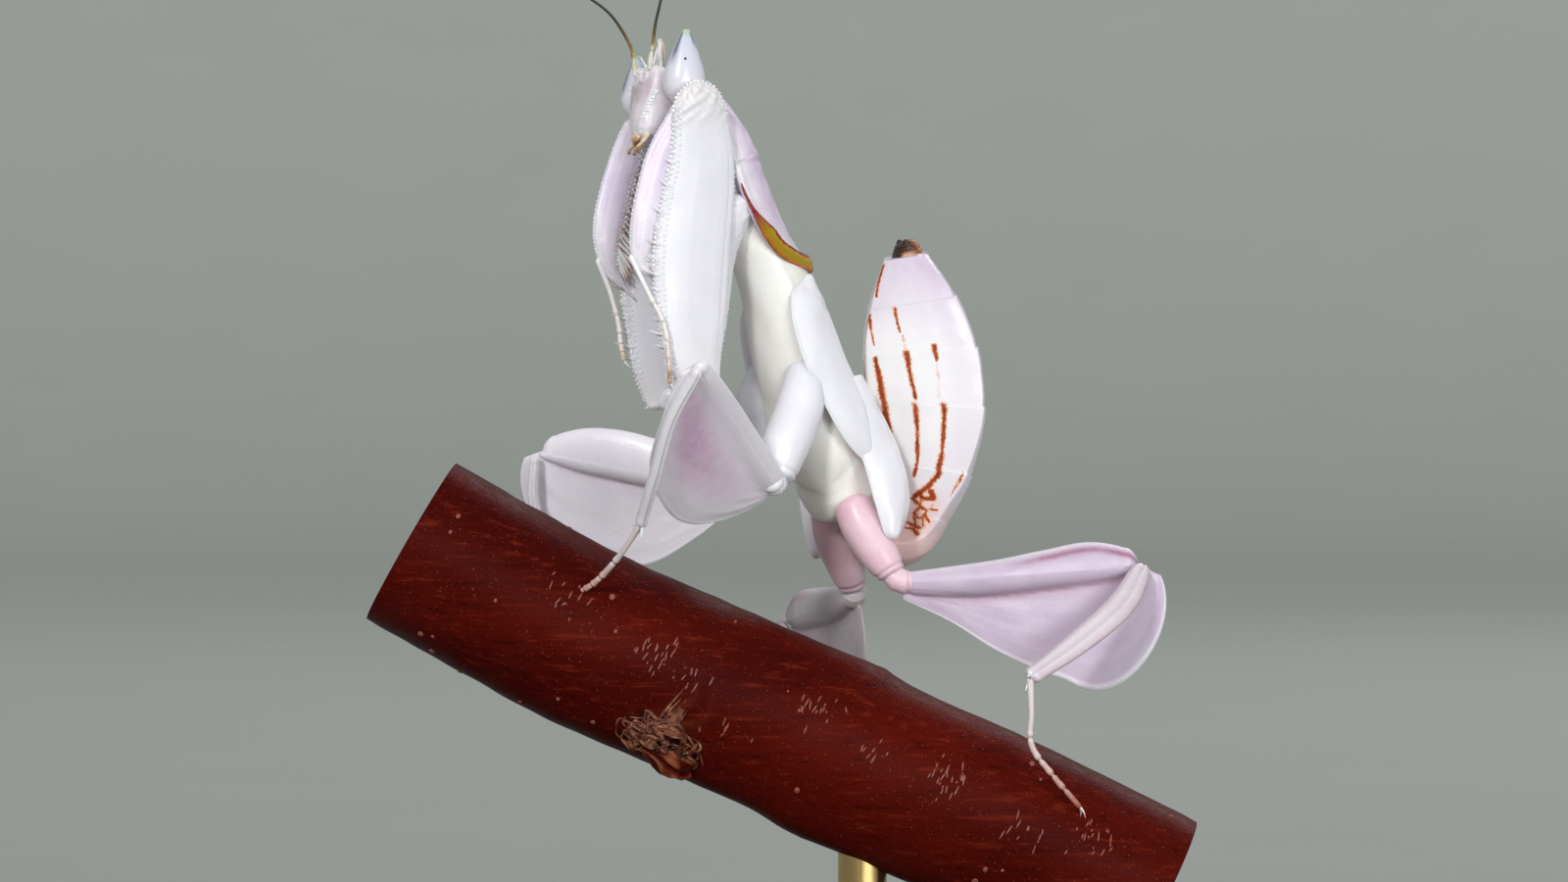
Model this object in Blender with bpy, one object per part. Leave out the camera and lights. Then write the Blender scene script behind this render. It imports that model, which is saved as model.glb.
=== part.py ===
"""Orchid mantis (Hymenopus coronatus), a subadult female nymph at life size, standing on a cut
length of branch that a plain display stand holds up.

Units are metres with +Z up; the named sizes below are millimetres and MM turns them into metres.
The origin is the middle of the underside of the stand's base. The insect is modelled in its own
frame, which an empty carries: -X is forward, -Y is its left side and +Z is up.
"""
import math

import bmesh
import bpy
import numpy as np
from mathutils import Matrix, Vector

MM = 0.001

# ---- driving dimensions, in millimetres ----
LIFT = 36.0  # height of the insect's frame above the underside of the base
TURN = 30.0  # degrees that the insect is turned about Z
GAP = 0.06  # clearance between neighbours that touch on the animal
COLLAR_GAP = 0.3  # the wider one under the shield's hind edge, where the middle thorax slides beneath it

BASE_LENGTH, BASE_DEPTH, BASE_HEIGHT = 62.0, 46.0, 5.0
BASE_CORNER, BASE_CHAMFER = 6.0, 0.8
ROD_RADIUS, ROD_X = 1.25, 4.0
ROD_TOP = 18.5  # inside the branch, whose swollen shape is then cut away

PERCH_RADIUS = 4.6
PERCH_NODE_X, PERCH_NODE_SWELL = 2.5, 0.05  # where a bud scar thickens the branch, and by what share
PERCH_SIDES, PERCH_STATIONS = 16, 14
PERCH_AXIS = [(-19.0, -5.1), (-15.0, -7.4), (-10.0, -10.1), (-5.0, -12.3), (0.0, -14.5), (5.0, -16.9),
              (10.0, -19.1), (15.0, -21.5), (19.0, -23.5)]  # X and height along the branch

HEAD_CENTRE = (-8.0, 0.0, 17.2)
HEAD_ROLL = 13.0  # degrees, left eye up
FACE_LEAN = 13.0  # degrees, crown behind the mouth
EYE_LENGTH, EYE_RADIUS = 3.9, 1.08
EYE_SPLAY, EYE_TILT = 18.0, 0.22  # degrees out to the side, and the lean forward of each cone

TRUNK_AXIS = [(-5.4, 16.5), (-4.4, 15.1), (-3.6, 13.6), (-2.9, 12.1), (-2.1, 10.6), (-1.2, 9.2),
              (-0.1, 6.9), (0.5, 4.7), (1.1, 2.7), (1.8, 0.8), (2.7, -1.1), (3.4, -2.6), (4.1, -3.7)]
TRUNK_HALF_WIDTH = [1.0, 1.5, 1.75, 1.85, 1.85, 1.9, 2.1, 2.25, 2.35, 2.35, 2.25, 2.1, 1.9]
TRUNK_HALF_DEPTH = [0.9, 1.2, 1.35, 1.4, 1.45, 1.6, 1.85, 1.95, 2.05, 2.1, 2.0, 1.85, 1.6]
PROTHORAX_END, MESOTHORAX_END = 0.42, 0.68  # shares of the trunk's length
TRUNK_SIDES = 12

PRONOTUM_RIDGE = [(-4.7, 18.2), (-3.75, 17.3), (-2.75, 16.1), (-2.1, 15.0), (-1.85, 14.2), (-1.4, 13.2),
                  (-0.85, 12.0), (-0.2, 10.8), (0.55, 9.8), (1.2, 9.25)]
PRONOTUM_HALF_WIDTH = [0.9, 1.6, 2.15, 2.45, 2.45, 2.6, 2.55, 2.2, 1.6, 0.9]
PRONOTUM_DROP = [0.5, 1.3, 2.0, 2.4, 2.4, 2.5, 2.4, 2.0, 1.2, 0.5]
PRONOTUM_THICKNESS = 0.5

ABDOMEN_EDGE = [(4.3, -4.0), (5.6, -5.2), (6.9, -4.9), (7.55, -3.4), (8.1, -1.5), (8.45, 1.2), (8.45, 3.6),
                (8.15, 5.8), (7.7, 7.8), (7.25, 9.6)]
ABDOMEN_HALF_WIDTH = [1.5, 1.75, 2.4, 3.5, 4.7, 5.5, 5.3, 4.7, 3.5, 1.6]
ABDOMEN_RIDGE_RISE = [1.1, 1.0, 1.1, 1.7, 2.6, 3.3, 3.5, 3.3, 2.5, 1.3]
ABDOMEN_BELLY_DROP = [1.0, 1.2, 1.5, 1.5, 1.4, 1.3, 1.2, 1.1, 0.9, 0.7]
ABDOMEN_SEGMENTS = 7
LOBE_FLARE = 0.14  # how far each segment's hind corner stands out

PLATE = 0.55  # thickness of wing pads and leaf-like lobes
FEELER = 0.26  # half thickness of the finest limbs
LOBE_FRONT = (-0.5, -0.87, 0.0)  # the side of the lobes on which the shins pass

PARTS, CUTTERS = {}, {}


# ---- scene, materials and placing ----
def clear_scene():
    for obj in list(bpy.data.objects):
        bpy.data.objects.remove(obj, do_unlink=True)


def new_collection(name):
    made = bpy.data.collections.new(name)
    bpy.context.scene.collection.children.link(made)
    return made


def material(name, colour, roughness, metallic=0.0):
    made = bpy.data.materials.get(name)
    if made:
        return made
    made = bpy.data.materials.new(name)
    made.use_nodes = True
    shader = made.node_tree.nodes["Principled BSDF"]
    shader.inputs["Base Color"].default_value = (*colour, 1.0)
    shader.inputs["Roughness"].default_value = roughness
    shader.inputs["Metallic"].default_value = metallic
    made.diffuse_color = (*colour, 1.0)
    return made


def white_cuticle():
    return material("white_cuticle", (0.86, 0.86, 0.84), 0.38)


def lilac_cuticle():
    return material("lilac_cuticle", (0.72, 0.60, 0.74), 0.38)


def petal_cuticle():
    return material("petal_cuticle", (0.76, 0.70, 0.82), 0.42)


def pink_cuticle():
    return material("pink_cuticle", (0.72, 0.52, 0.66), 0.35)


def olive_band():
    return material("olive_band", (0.20, 0.13, 0.02), 0.35)


def eye_shell():
    return material("eye_shell", (0.82, 0.84, 0.88), 0.18)


def dark_feeler():
    return material("dark_feeler", (0.10, 0.08, 0.03), 0.5)


def amber_mouth():
    return material("amber_mouth", (0.55, 0.38, 0.20), 0.4)


def dark_bark():
    return material("dark_bark", (0.14, 0.012, 0.008), 0.25)


def stand_wood():
    return material("stand_wood", (0.09, 0.05, 0.03), 0.4)


def stand_brass():
    return material("stand_brass", (0.62, 0.45, 0.20), 0.3, 1.0)


def mantis_frame():
    frame = bpy.data.objects.new("mantis", None)
    frame.location = (0.0, 0.0, LIFT * MM)
    frame.rotation_euler = (0.0, 0.0, math.radians(TURN))
    bpy.context.scene.collection.objects.link(frame)
    return frame


def add_part(name, mesh, finish, parent=None):
    mesh.materials.append(finish)
    mesh.shade_smooth()
    mesh.set_sharp_from_angle(angle=math.radians(40))
    obj = bpy.data.objects.new(name, mesh)
    OBJECT_PARTS.objects.link(obj)
    if parent:
        obj.parent = parent
    PARTS[name] = obj
    return obj


# ---- curves and profiles ----
def unit(v):
    return v / np.linalg.norm(v)


def along(values, share):
    """The value at a share from 0 to 1 of an evenly spaced list, on a smooth curve through it."""
    values = np.array(values, float)
    place = min(max(share, 0.0), 1.0) * (len(values) - 1)
    i = min(int(place), len(values) - 2)
    t = place - i
    a, b = values[i], values[i + 1]
    before = values[i - 1] if i else 2 * a - b
    after = values[i + 2] if i + 2 < len(values) else 2 * b - a
    return 0.5 * (2 * a + (b - before) * t + (2 * before - 5 * a + 4 * b - after) * t ** 2
                  + (3 * a - before - 3 * b + after) * t ** 3)


def direction(values, share, step=0.01):
    return unit(along(values, min(share + step, 1.0)) - along(values, max(share - step, 0.0)))


def shares(start, end, count):
    return np.linspace(start, end, count)


def half_gap_share(axis):
    """Half of the clearance, as a share of the length of an axis, for parting a body into rings."""
    steps = np.diff(np.array(axis), axis=0)
    return GAP / 2 / np.linalg.norm(steps, axis=1).sum()


def mirrored(points, side):
    """Left-hand points as given (side -1), or their mirror image on the right (side 1)."""
    return [(x, -side * y, z) for x, y, z in points]


def in_plane(point):
    """A point of the animal's middle plane, from its (x, z)."""
    return np.array([point[0], 0.0, point[1]])


def oval(centre, across, rise, half_across, half_rise, sides, power=1.0, start=0.0):
    """A closed ring of points; power under 1 squares it and over 1 sharpens its ends."""
    ring = []
    for k in range(sides):
        angle = start + 2 * math.pi * k / sides
        c, s = math.cos(angle), math.sin(angle)
        c = math.copysign(abs(c) ** power, c)
        s = math.copysign(abs(s) ** power, s)
        ring.append(centre + across * half_across * c + rise * half_rise * s)
    return ring


# ---- bodies ----
def loft(name, rings, finish, parent=None):
    """One closed body through rings of equal count, closed flat at both ends."""
    bm = bmesh.new()
    loops = [[bm.verts.new(Vector(p) * MM) for p in ring] for ring in rings]
    for first, second in zip(loops, loops[1:]):
        for k in range(len(first)):
            after = (k + 1) % len(first)
            bm.faces.new((first[k], first[after], second[after], second[k]))
    bm.faces.new(loops[0][::-1])
    bm.faces.new(loops[-1])
    bmesh.ops.recalc_face_normals(bm, faces=bm.faces)
    mesh = bpy.data.meshes.new(name)
    bm.to_mesh(mesh)
    bm.free()
    return add_part(name, mesh, finish, parent)


def limb(name, path, widths, depths, flat, finish, parent, stations=7, sides=8, power=1.0, tip=0.35):
    """A rod along a smooth path. Widths lie square to the flat direction, depths along it."""
    flat = np.array(flat, float)
    rings = []
    for share in shares(0.0, 1.0, stations):
        centre, ahead = along(path, share), direction(path, share)
        across = unit(np.cross(ahead, flat))
        rise = unit(np.cross(across, ahead))
        rings.append(oval(centre, across, rise, along(widths, share), along(depths, share), sides, power))
    for end, inner in ((0, 1), (-1, -2)):
        centre = np.mean(rings[end], axis=0)
        out = unit(centre - np.mean(rings[inner], axis=0))
        size = np.linalg.norm(rings[end][0] - centre)
        cap = [centre + out * size * tip + (p - centre) * 0.55 for p in rings[end]]
        rings = [cap] + rings if end == 0 else rings + [cap]
    return loft(name, rings, finish, parent)


def lobe_frame(hip, knee, lobe_way):
    """Three directions: along the thigh, down the lobe, and square to the lobe on its front side."""
    axis = unit(knee - hip)
    down = np.array(lobe_way, float)
    down = unit(down - axis * np.dot(down, axis))
    face = np.cross(axis, down)
    return axis, down, face * math.copysign(1.0, np.dot(face, LOBE_FRONT))


def lobed_femur(name, hip, knee, rod, crest, lobe_way, reach, leans, finish, parent, stations=11):
    """A thigh: a rod from hip to knee, with a low crest above and a thin leaf-like lobe below.

    The lists run from hip to knee. A lobe's rays lean past the knee by their angle in degrees,
    because the leaf is rounder than the thigh is long.
    """
    axis, down, face = lobe_frame(hip, knee, lobe_way)
    half = PLATE / 2
    rings = []
    for share in shares(0.0, 1.0, stations):
        centre = hip + (knee - hip) * share
        radius = along(rod, share)
        lean = math.radians(along(leans, share))
        ray = down * math.cos(lean) + axis * math.sin(lean)
        long = max(along(reach, share), radius * 1.15)
        ring = []
        for angle in np.radians([-105, -60, 0, 60, 105]):
            height = along(crest, share) if abs(angle) < 1.2 else radius
            ring.append(centre + face * radius * math.sin(angle) - down * height * math.cos(angle))
        for part, side in ((0.6, 1), (0.94, 1), (1.0, 0), (0.94, -1), (0.6, -1)):
            ring.append(centre + ray * (long * part) + face * half * side)
        rings.append(ring)
    return loft(name, rings, finish, parent)


def leaf(name, spine, half_widths, width_way, finish, parent, stations=9, bulge=0.0):
    """A thin plate with a rounded outline along a spine, bent away from the body by its bulge."""
    way = np.array(width_way, float)
    rings = []
    for share in shares(0.0, 1.0, stations):
        centre, ahead = along(spine, share), direction(spine, share)
        across = unit(way - ahead * np.dot(way, ahead))
        face = unit(np.cross(across, ahead))
        half = along(half_widths, share)
        ring = []
        section = ((-1, 0), (-0.85, 1), (0, 1.25), (0.85, 1), (1, 0), (0.85, -1), (0, -1), (-0.85, -1))
        for part, side in section:
            lift = bulge * (1 - part ** 2) + side * PLATE / 2
            ring.append(centre + across * half * part + face * lift)
        rings.append(ring)
    return loft(name, rings, finish, parent)


def swollen(name, gap=GAP):
    """A cutter: the named part grown by the gap, kept out of the render."""
    key = (name, gap)
    if key not in CUTTERS:
        source = PARTS[name]
        bm = bmesh.new()
        bm.from_mesh(source.data)
        bmesh.ops.recalc_face_normals(bm, faces=bm.faces)
        bm.normal_update()
        for vert in bm.verts:
            vert.co += vert.normal * gap * MM * vert.calc_shell_factor()
        mesh = bpy.data.meshes.new("cut_" + name)
        bm.to_mesh(mesh)
        bm.free()
        cutter = bpy.data.objects.new(mesh.name, mesh)
        cutter.parent = source.parent
        cutter.hide_render = True
        cutter.display_type = "WIRE"
        CUTTER_PARTS.objects.link(cutter)
        CUTTERS[key] = cutter
    return CUTTERS[key]


def clear_of(name, *neighbours, gap=GAP):
    """Cuts the swollen shapes of its neighbours from a part, so that they meet with no overlap."""
    for neighbour in neighbours:
        cut = PARTS[name].modifiers.new("clear_" + neighbour, "BOOLEAN")
        cut.operation = "DIFFERENCE"
        cut.solver = "EXACT"
        cut.object = swollen(neighbour, gap)


# ---- stand and perch ----
def stand_base():
    bm = bmesh.new()
    bmesh.ops.create_cube(bm, size=1.0)
    bmesh.ops.scale(bm, vec=Vector((BASE_LENGTH, BASE_DEPTH, BASE_HEIGHT)) * MM, verts=bm.verts)
    bmesh.ops.translate(bm, vec=(0.0, 0.0, BASE_HEIGHT / 2 * MM), verts=bm.verts)
    upright = [e for e in bm.edges if abs(e.verts[0].co.z - e.verts[1].co.z) > BASE_HEIGHT * MM / 2]
    bmesh.ops.bevel(bm, geom=upright, offset=BASE_CORNER * MM, segments=5, affect="EDGES", profile=0.5)
    top = [e for e in bm.edges if min(v.co.z for v in e.verts) > BASE_HEIGHT * MM * 0.9]
    bmesh.ops.bevel(bm, geom=top, offset=BASE_CHAMFER * MM, segments=2, affect="EDGES", profile=0.5)
    mesh = bpy.data.meshes.new("stand_base")
    bm.to_mesh(mesh)
    bm.free()
    add_part("stand_base", mesh, stand_wood())


def perch():
    rings = []
    for share in shares(0.0, 1.0, PERCH_STATIONS):
        x, height = along(PERCH_AXIS, share)
        tangent = direction(PERCH_AXIS, share)
        ahead = np.array([tangent[0], 0.0, tangent[1]])
        rise = np.array([-tangent[1], 0.0, tangent[0]])
        across = np.cross(rise, ahead)
        centre = np.array([x, 0.0, height + LIFT])
        radius = PERCH_RADIUS * (1.0 + PERCH_NODE_SWELL * math.exp(-((x - PERCH_NODE_X) / 1.6) ** 2))
        rings.append(oval(centre, across, rise, radius, radius, PERCH_SIDES))
    loft("perch", rings, dark_bark())


def perch_knot():
    """The healed stub of a side twig, on the underside of the branch."""
    path = [(-5.4, -1.9, 20.6), (-5.8, -2.5, 19.8), (-6.2, -2.7, 19.2)]
    limb("perch_knot", path, [2.0, 1.5, 0.9], [1.3, 1.1, 0.7], (0, 1, 0), dark_bark(), None, 4, 8)
    clear_of("perch_knot", "perch")


def stand_rod():
    bm = bmesh.new()
    foot, head = BASE_HEIGHT + GAP, ROD_TOP
    bmesh.ops.create_cone(bm, cap_ends=True, segments=20, radius1=ROD_RADIUS * MM, radius2=ROD_RADIUS * MM,
                          depth=(head - foot) * MM)
    bmesh.ops.translate(bm, vec=(ROD_X * MM, 0.0, (head + foot) / 2 * MM), verts=bm.verts)
    mesh = bpy.data.meshes.new("stand_rod")
    bm.to_mesh(mesh)
    bm.free()
    add_part("stand_rod", mesh, stand_brass())
    clear_of("stand_rod", "perch")


# ---- trunk ----
def trunk_ring(share):
    centre = in_plane(along(TRUNK_AXIS, share))
    ahead = in_plane(direction(TRUNK_AXIS, share))
    across = np.array([0.0, 1.0, 0.0])
    rise = unit(np.cross(ahead, across))
    width, depth = along(TRUNK_HALF_WIDTH, share), along(TRUNK_HALF_DEPTH, share)
    return oval(centre, across, rise, width, depth, TRUNK_SIDES, 0.92)


def trunk(frame):
    part = half_gap_share(TRUNK_AXIS)
    stretches = (("prothorax", 0.0, PROTHORAX_END, 7), ("mesothorax", PROTHORAX_END, MESOTHORAX_END, 5),
                 ("metathorax", MESOTHORAX_END, 1.0, 6))
    for name, start, end, count in stretches:
        rings = [trunk_ring(share) for share in shares(start + part, end - part, count)]
        loft(name, rings, white_cuticle(), frame)


def pronotum_frame(share):
    """The ridge point, the way along it, the way across and the way in towards the breast."""
    ridge = in_plane(along(PRONOTUM_RIDGE, share))
    ahead = in_plane(direction(PRONOTUM_RIDGE, share))
    across = np.array([0.0, 1.0, 0.0])
    inward = unit(np.cross(ahead, across))
    return ridge, ahead, across, inward * math.copysign(1.0, -inward[0])


def pronotum(frame):
    """The saddle-shaped shield over the prothorax, a thin curved plate."""
    rings = []
    for share in shares(0.0, 1.0, 12):
        ridge, _, across, inward = pronotum_frame(share)
        width, drop = along(PRONOTUM_HALF_WIDTH, share), along(PRONOTUM_DROP, share)
        ring = []
        for angle in np.radians([-90, -60, -30, 0, 30, 60, 90]):
            ring.append(ridge + across * width * math.sin(angle) + inward * drop * (1 - math.cos(angle)))
        inner = PRONOTUM_THICKNESS
        for angle in np.radians([90, 50, 0, -50, -90]):
            ring.append(ridge + across * (width - inner) * math.sin(angle)
                        + inward * (inner + max(drop - inner, 0.05) * (1 - math.cos(angle))))
        rings.append(ring)
    loft("pronotum", rings, lilac_cuticle(), frame)


def hem_point(share, side):
    """A point on the lower edge of the shield, where its coloured band runs."""
    ridge, _, across, inward = pronotum_frame(share)
    width, drop = along(PRONOTUM_HALF_WIDTH, share), along(PRONOTUM_DROP, share)
    return ridge + across * side * (width - 0.08) + inward * (drop + 0.1)


def pronotum_band(frame):
    """The olive collar on the hind edge of the shield, narrow at the sides and widest at the back."""
    left = [hem_point(share, -1) for share in (0.5, 0.6, 0.7, 0.8, 0.9, 0.99)]
    ridge, ahead, _, inward = pronotum_frame(1.0)
    path = left + [ridge + ahead * 0.42 + inward * 0.25] + mirrored(left, 1)[::-1]
    widths = [0.26, 0.28, 0.3, 0.32, 0.34, 0.36, 0.4, 0.36, 0.34, 0.32, 0.3, 0.28, 0.26]
    limb("pronotum_band", path, widths, [0.26] * 13, (0.5, 0, 0.87), olive_band(), frame, 17, 6)


def neck(frame):
    path = [(-7.3, 0.15, 17.1), (-6.3, 0.1, 17.0), (-5.5, 0.0, 16.8), (-4.8, 0.0, 16.2)]
    limb("neck", path, [0.8, 0.75, 0.8, 0.9], [0.8, 0.75, 0.8, 0.9], (0, 1, 0), white_cuticle(), frame, 4, 8)


# ---- head ----
def head_place():
    """The matrix from the head's own frame (forward -X, up Z, origin at its middle) to the insect's."""
    roll = Matrix.Rotation(math.radians(-HEAD_ROLL), 4, "X")
    lean = Matrix.Rotation(math.radians(FACE_LEAN), 4, "Y")
    return Matrix.Translation(Vector(HEAD_CENTRE)) @ roll @ lean


def on_head(point):
    return np.array(head_place() @ Vector(point))


def head(frame):
    """A flat-faced wedge, widest between the eyes and narrowing to the mouth."""
    heights = [-2.15, -1.7, -1.0, -0.2, 0.5, 1.0, 1.4, 1.7]
    widths = [0.45, 0.72, 0.98, 1.15, 1.28, 1.3, 1.15, 0.75]
    fronts = [0.35, 0.52, 0.62, 0.6, 0.55, 0.5, 0.42, 0.3]
    backs = [0.3, 0.5, 0.8, 1.15, 1.45, 1.45, 1.2, 0.7]
    rings = []
    for height, width, front, back in zip(heights, widths, fronts, backs):
        ring = []
        for k in range(14):
            angle = 2 * math.pi * k / 14
            depth = -front if math.cos(angle) > 0 else back
            ring.append(on_head((abs(math.cos(angle)) ** 0.75 * depth, width * math.sin(angle), height)))
        rings.append(ring)
    loft("head", rings, white_cuticle(), frame)


def eye(frame, name, side):
    """A tall cone with a blunt point, standing up and out from the side of the head."""
    splay = math.radians(EYE_SPLAY)
    base = np.array([1.3, side * 1.6, -0.5])
    out = unit(np.array([-EYE_TILT, side * math.sin(splay), math.cos(splay)]))
    rise = unit(np.cross(out, np.array([1.0, 0.0, 0.0])))
    across = np.cross(rise, out)
    rings = []
    profile = ((0.0, 0.35), (0.08, 0.65), (0.2, 0.93), (0.34, 1.0), (0.5, 0.88), (0.66, 0.67), (0.82, 0.44),
               (0.93, 0.26), (1.0, 0.12))
    for share, size in profile:
        centre = base + out * EYE_LENGTH * share
        ring = oval(centre, across, rise, EYE_RADIUS * 1.05 * size, EYE_RADIUS * 0.85 * size, 12)
        rings.append([on_head(p) for p in ring])
    loft(name, rings, eye_shell(), frame)


def crown(frame):
    """The pointed process on top of the head, behind the feelers."""
    path = [on_head(p) for p in ((0.75, 0.0, 1.3), (0.7, 0.0, 2.2), (0.6, 0.0, 2.9), (0.4, 0.0, 3.35))]
    limb("crown", path, [0.55, 0.42, 0.32, 0.25], [0.3, 0.27, 0.26, 0.25], (0, 1, 0), white_cuticle(), frame,
         5, 8)


def antenna(frame, name, side):
    if side < 0:
        path = [(-8.1, -0.45, 19.0), (-8.05, -0.75, 20.0), (-8.0, -0.95, 21.0), (-7.75, -1.05, 22.2),
                (-7.3, -1.2, 24.6), (-6.4, -1.5, 27.2), (-5.0, -1.9, 29.4)]
    else:
        path = [(-8.1, 0.95, 18.7), (-8.2, 1.15, 19.7), (-8.75, 1.3, 20.8), (-9.4, 1.6, 21.7),
                (-10.4, 2.1, 22.5), (-12.4, 3.2, 23.9), (-14.6, 4.6, 25.6)]
    radii = [0.3, 0.27, FEELER, FEELER, FEELER, FEELER, 0.25]
    limb(name, path, radii, radii, (1, 0, 0), dark_feeler(), frame, 12, 6)


def mouthparts(frame):
    """Lip, jaws and feelers of the mouth, gathered into one small block."""
    path = [on_head(p) for p in ((0.15, 0.0, -1.9), (0.1, 0.0, -2.4), (0.0, 0.0, -2.85))]
    limb("mouthparts", path, [0.55, 0.5, 0.3], [0.6, 0.5, 0.35], (0, 1, 0), amber_mouth(), frame, 4, 8)


# ---- abdomen ----
def abdomen_ring(share, flare):
    edge = in_plane(along(ABDOMEN_EDGE, share))
    ahead = in_plane(direction(ABDOMEN_EDGE, share))
    across = np.array([0.0, 1.0, 0.0])
    dorsal = unit(np.cross(ahead, across))
    width = along(ABDOMEN_HALF_WIDTH, share) + flare
    rise, drop = along(ABDOMEN_RIDGE_RISE, share), along(ABDOMEN_BELLY_DROP, share)
    ring = []
    outline = ((-1.0, 0.0), (-0.72, 0.40), (-0.36, 0.75), (0.0, 1.0), (0.36, 0.75), (0.72, 0.40), (1.0, 0.0),
               (0.8, -0.62), (0.4, -0.95), (0.0, -1.0), (-0.4, -0.95), (-0.8, -0.62))
    for part, level in outline:
        height = rise * level if level > 0 else drop * level
        ring.append(edge + across * width * part + dorsal * height)
    return ring


def abdomen(frame):
    part = half_gap_share(ABDOMEN_EDGE)
    for index in range(ABDOMEN_SEGMENTS):
        start, end = index / ABDOMEN_SEGMENTS, (index + 1) / ABDOMEN_SEGMENTS
        grown = min(index, 2) / 2
        middle = start * 0.4 + end * 0.6
        rings = [abdomen_ring(start + part, 0.0), abdomen_ring(middle, LOBE_FLARE * 0.6 * grown),
                 abdomen_ring(end - part, LOBE_FLARE * grown)]
        loft(f"abdomen_{index + 1}", rings, white_cuticle(), frame)
    clear_of("abdomen_1", "metathorax")


def abdomen_tip(frame):
    """The last short plate with the pair of blunt feelers that close the abdomen."""
    path = [(7.4, 0.0, 9.4), (7.3, 0.0, 9.95), (7.15, 0.0, 10.35)]
    limb("abdomen_tip", path, [1.05, 0.8, 0.5], [0.8, 0.65, 0.45], (1, 0, 0), dark_feeler(), frame, 4, 10)
    clear_of("abdomen_tip", f"abdomen_{ABDOMEN_SEGMENTS}")


# ---- wing pads ----
def wing_pads(frame):
    for side, word in ((-1, "left"), (1, "right")):
        fore = [(0.3, -1.9, 8.0), (0.15, -2.35, 6.2), (0.95, -2.7, 3.9), (1.8, -2.95, 2.1),
                (2.75, -3.05, 0.5), (3.75, -3.1, -1.3)]
        leaf(f"forewing_pad_{word}", mirrored(fore, side), [0.7, 1.35, 1.45, 1.4, 1.25, 0.45],
             (0.96, -0.25 * side, 0.0), white_cuticle(), frame, 9, 0.15 * side)
        drop = 0.0 if side < 0 else 1.1
        hind = [(2.6, -2.2, 3.2), (3.2, -2.85, 1.0), (3.9, -3.3, -1.0), (4.25, -3.6, -3.0 - drop * 0.4),
                (4.15, -3.8, -5.0 - drop)]
        leaf(f"hindwing_pad_{word}", mirrored(hind, side), [0.8, 1.15, 1.2, 1.1, 0.4],
             (1.0, -0.1 * side, 0.0), white_cuticle(), frame, 8, 0.1 * side)
        clear_of(f"forewing_pad_{word}", "prothorax", "mesothorax", "metathorax")
        clear_of(f"hindwing_pad_{word}", "mesothorax", "metathorax", f"forewing_pad_{word}", "abdomen_1",
                 "abdomen_2", "abdomen_3")


# ---- legs ----
FORE = {
    "left": dict(coxa=[(-3.6, -1.9, 12.4), (-4.8, -1.7, 9.6), (-5.2, -1.45, 6.2), (-5.55, -1.35, 2.9)],
                 femur=[(-6.0, -2.3, 2.2), (-6.5, -2.4, 5.0), (-6.5, -2.5, 9.5), (-6.25, -2.65, 14.0),
                        (-6.9, -3.1, 17.65)],
                 tibia=[(-7.15, -2.2, 17.0), (-7.95, -1.9, 15.9), (-8.85, -1.8, 14.0), (-9.35, -1.75, 11.5),
                        (-9.5, -1.8, 9.9)],
                 claw=[(-9.4, -1.9, 8.9), (-8.9, -2.0, 8.3)],
                 tarsus=[(-9.95, -1.85, 9.3), (-9.0, -2.0, 7.4), (-8.15, -2.1, 5.6), (-7.8, -2.1, 2.8)]),
    "right": dict(coxa=[(-3.6, 1.9, 12.4), (-4.8, 1.7, 9.6), (-5.2, 1.45, 6.0), (-5.5, 1.35, 2.6)],
                  femur=[(-5.7, 2.3, 1.6), (-6.1, 2.4, 4.4), (-6.3, 2.45, 9.0), (-6.2, 2.45, 13.4),
                         (-6.4, 2.4, 16.2)],
                  tibia=[(-7.1, 2.2, 16.5), (-7.8, 2.05, 15.2), (-8.5, 1.95, 13.2), (-9.1, 1.85, 11.2),
                         (-9.25, 1.85, 9.8)],
                  claw=[(-9.0, 1.9, 8.6), (-8.2, 2.0, 7.8)],
                  tarsus=[(-9.85, 1.8, 9.2), (-9.15, 1.8, 7.6), (-8.65, 1.8, 6.0), (-8.5, 1.8, 4.9),
                          (-8.3, 1.8, 4.0)]),
}

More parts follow.
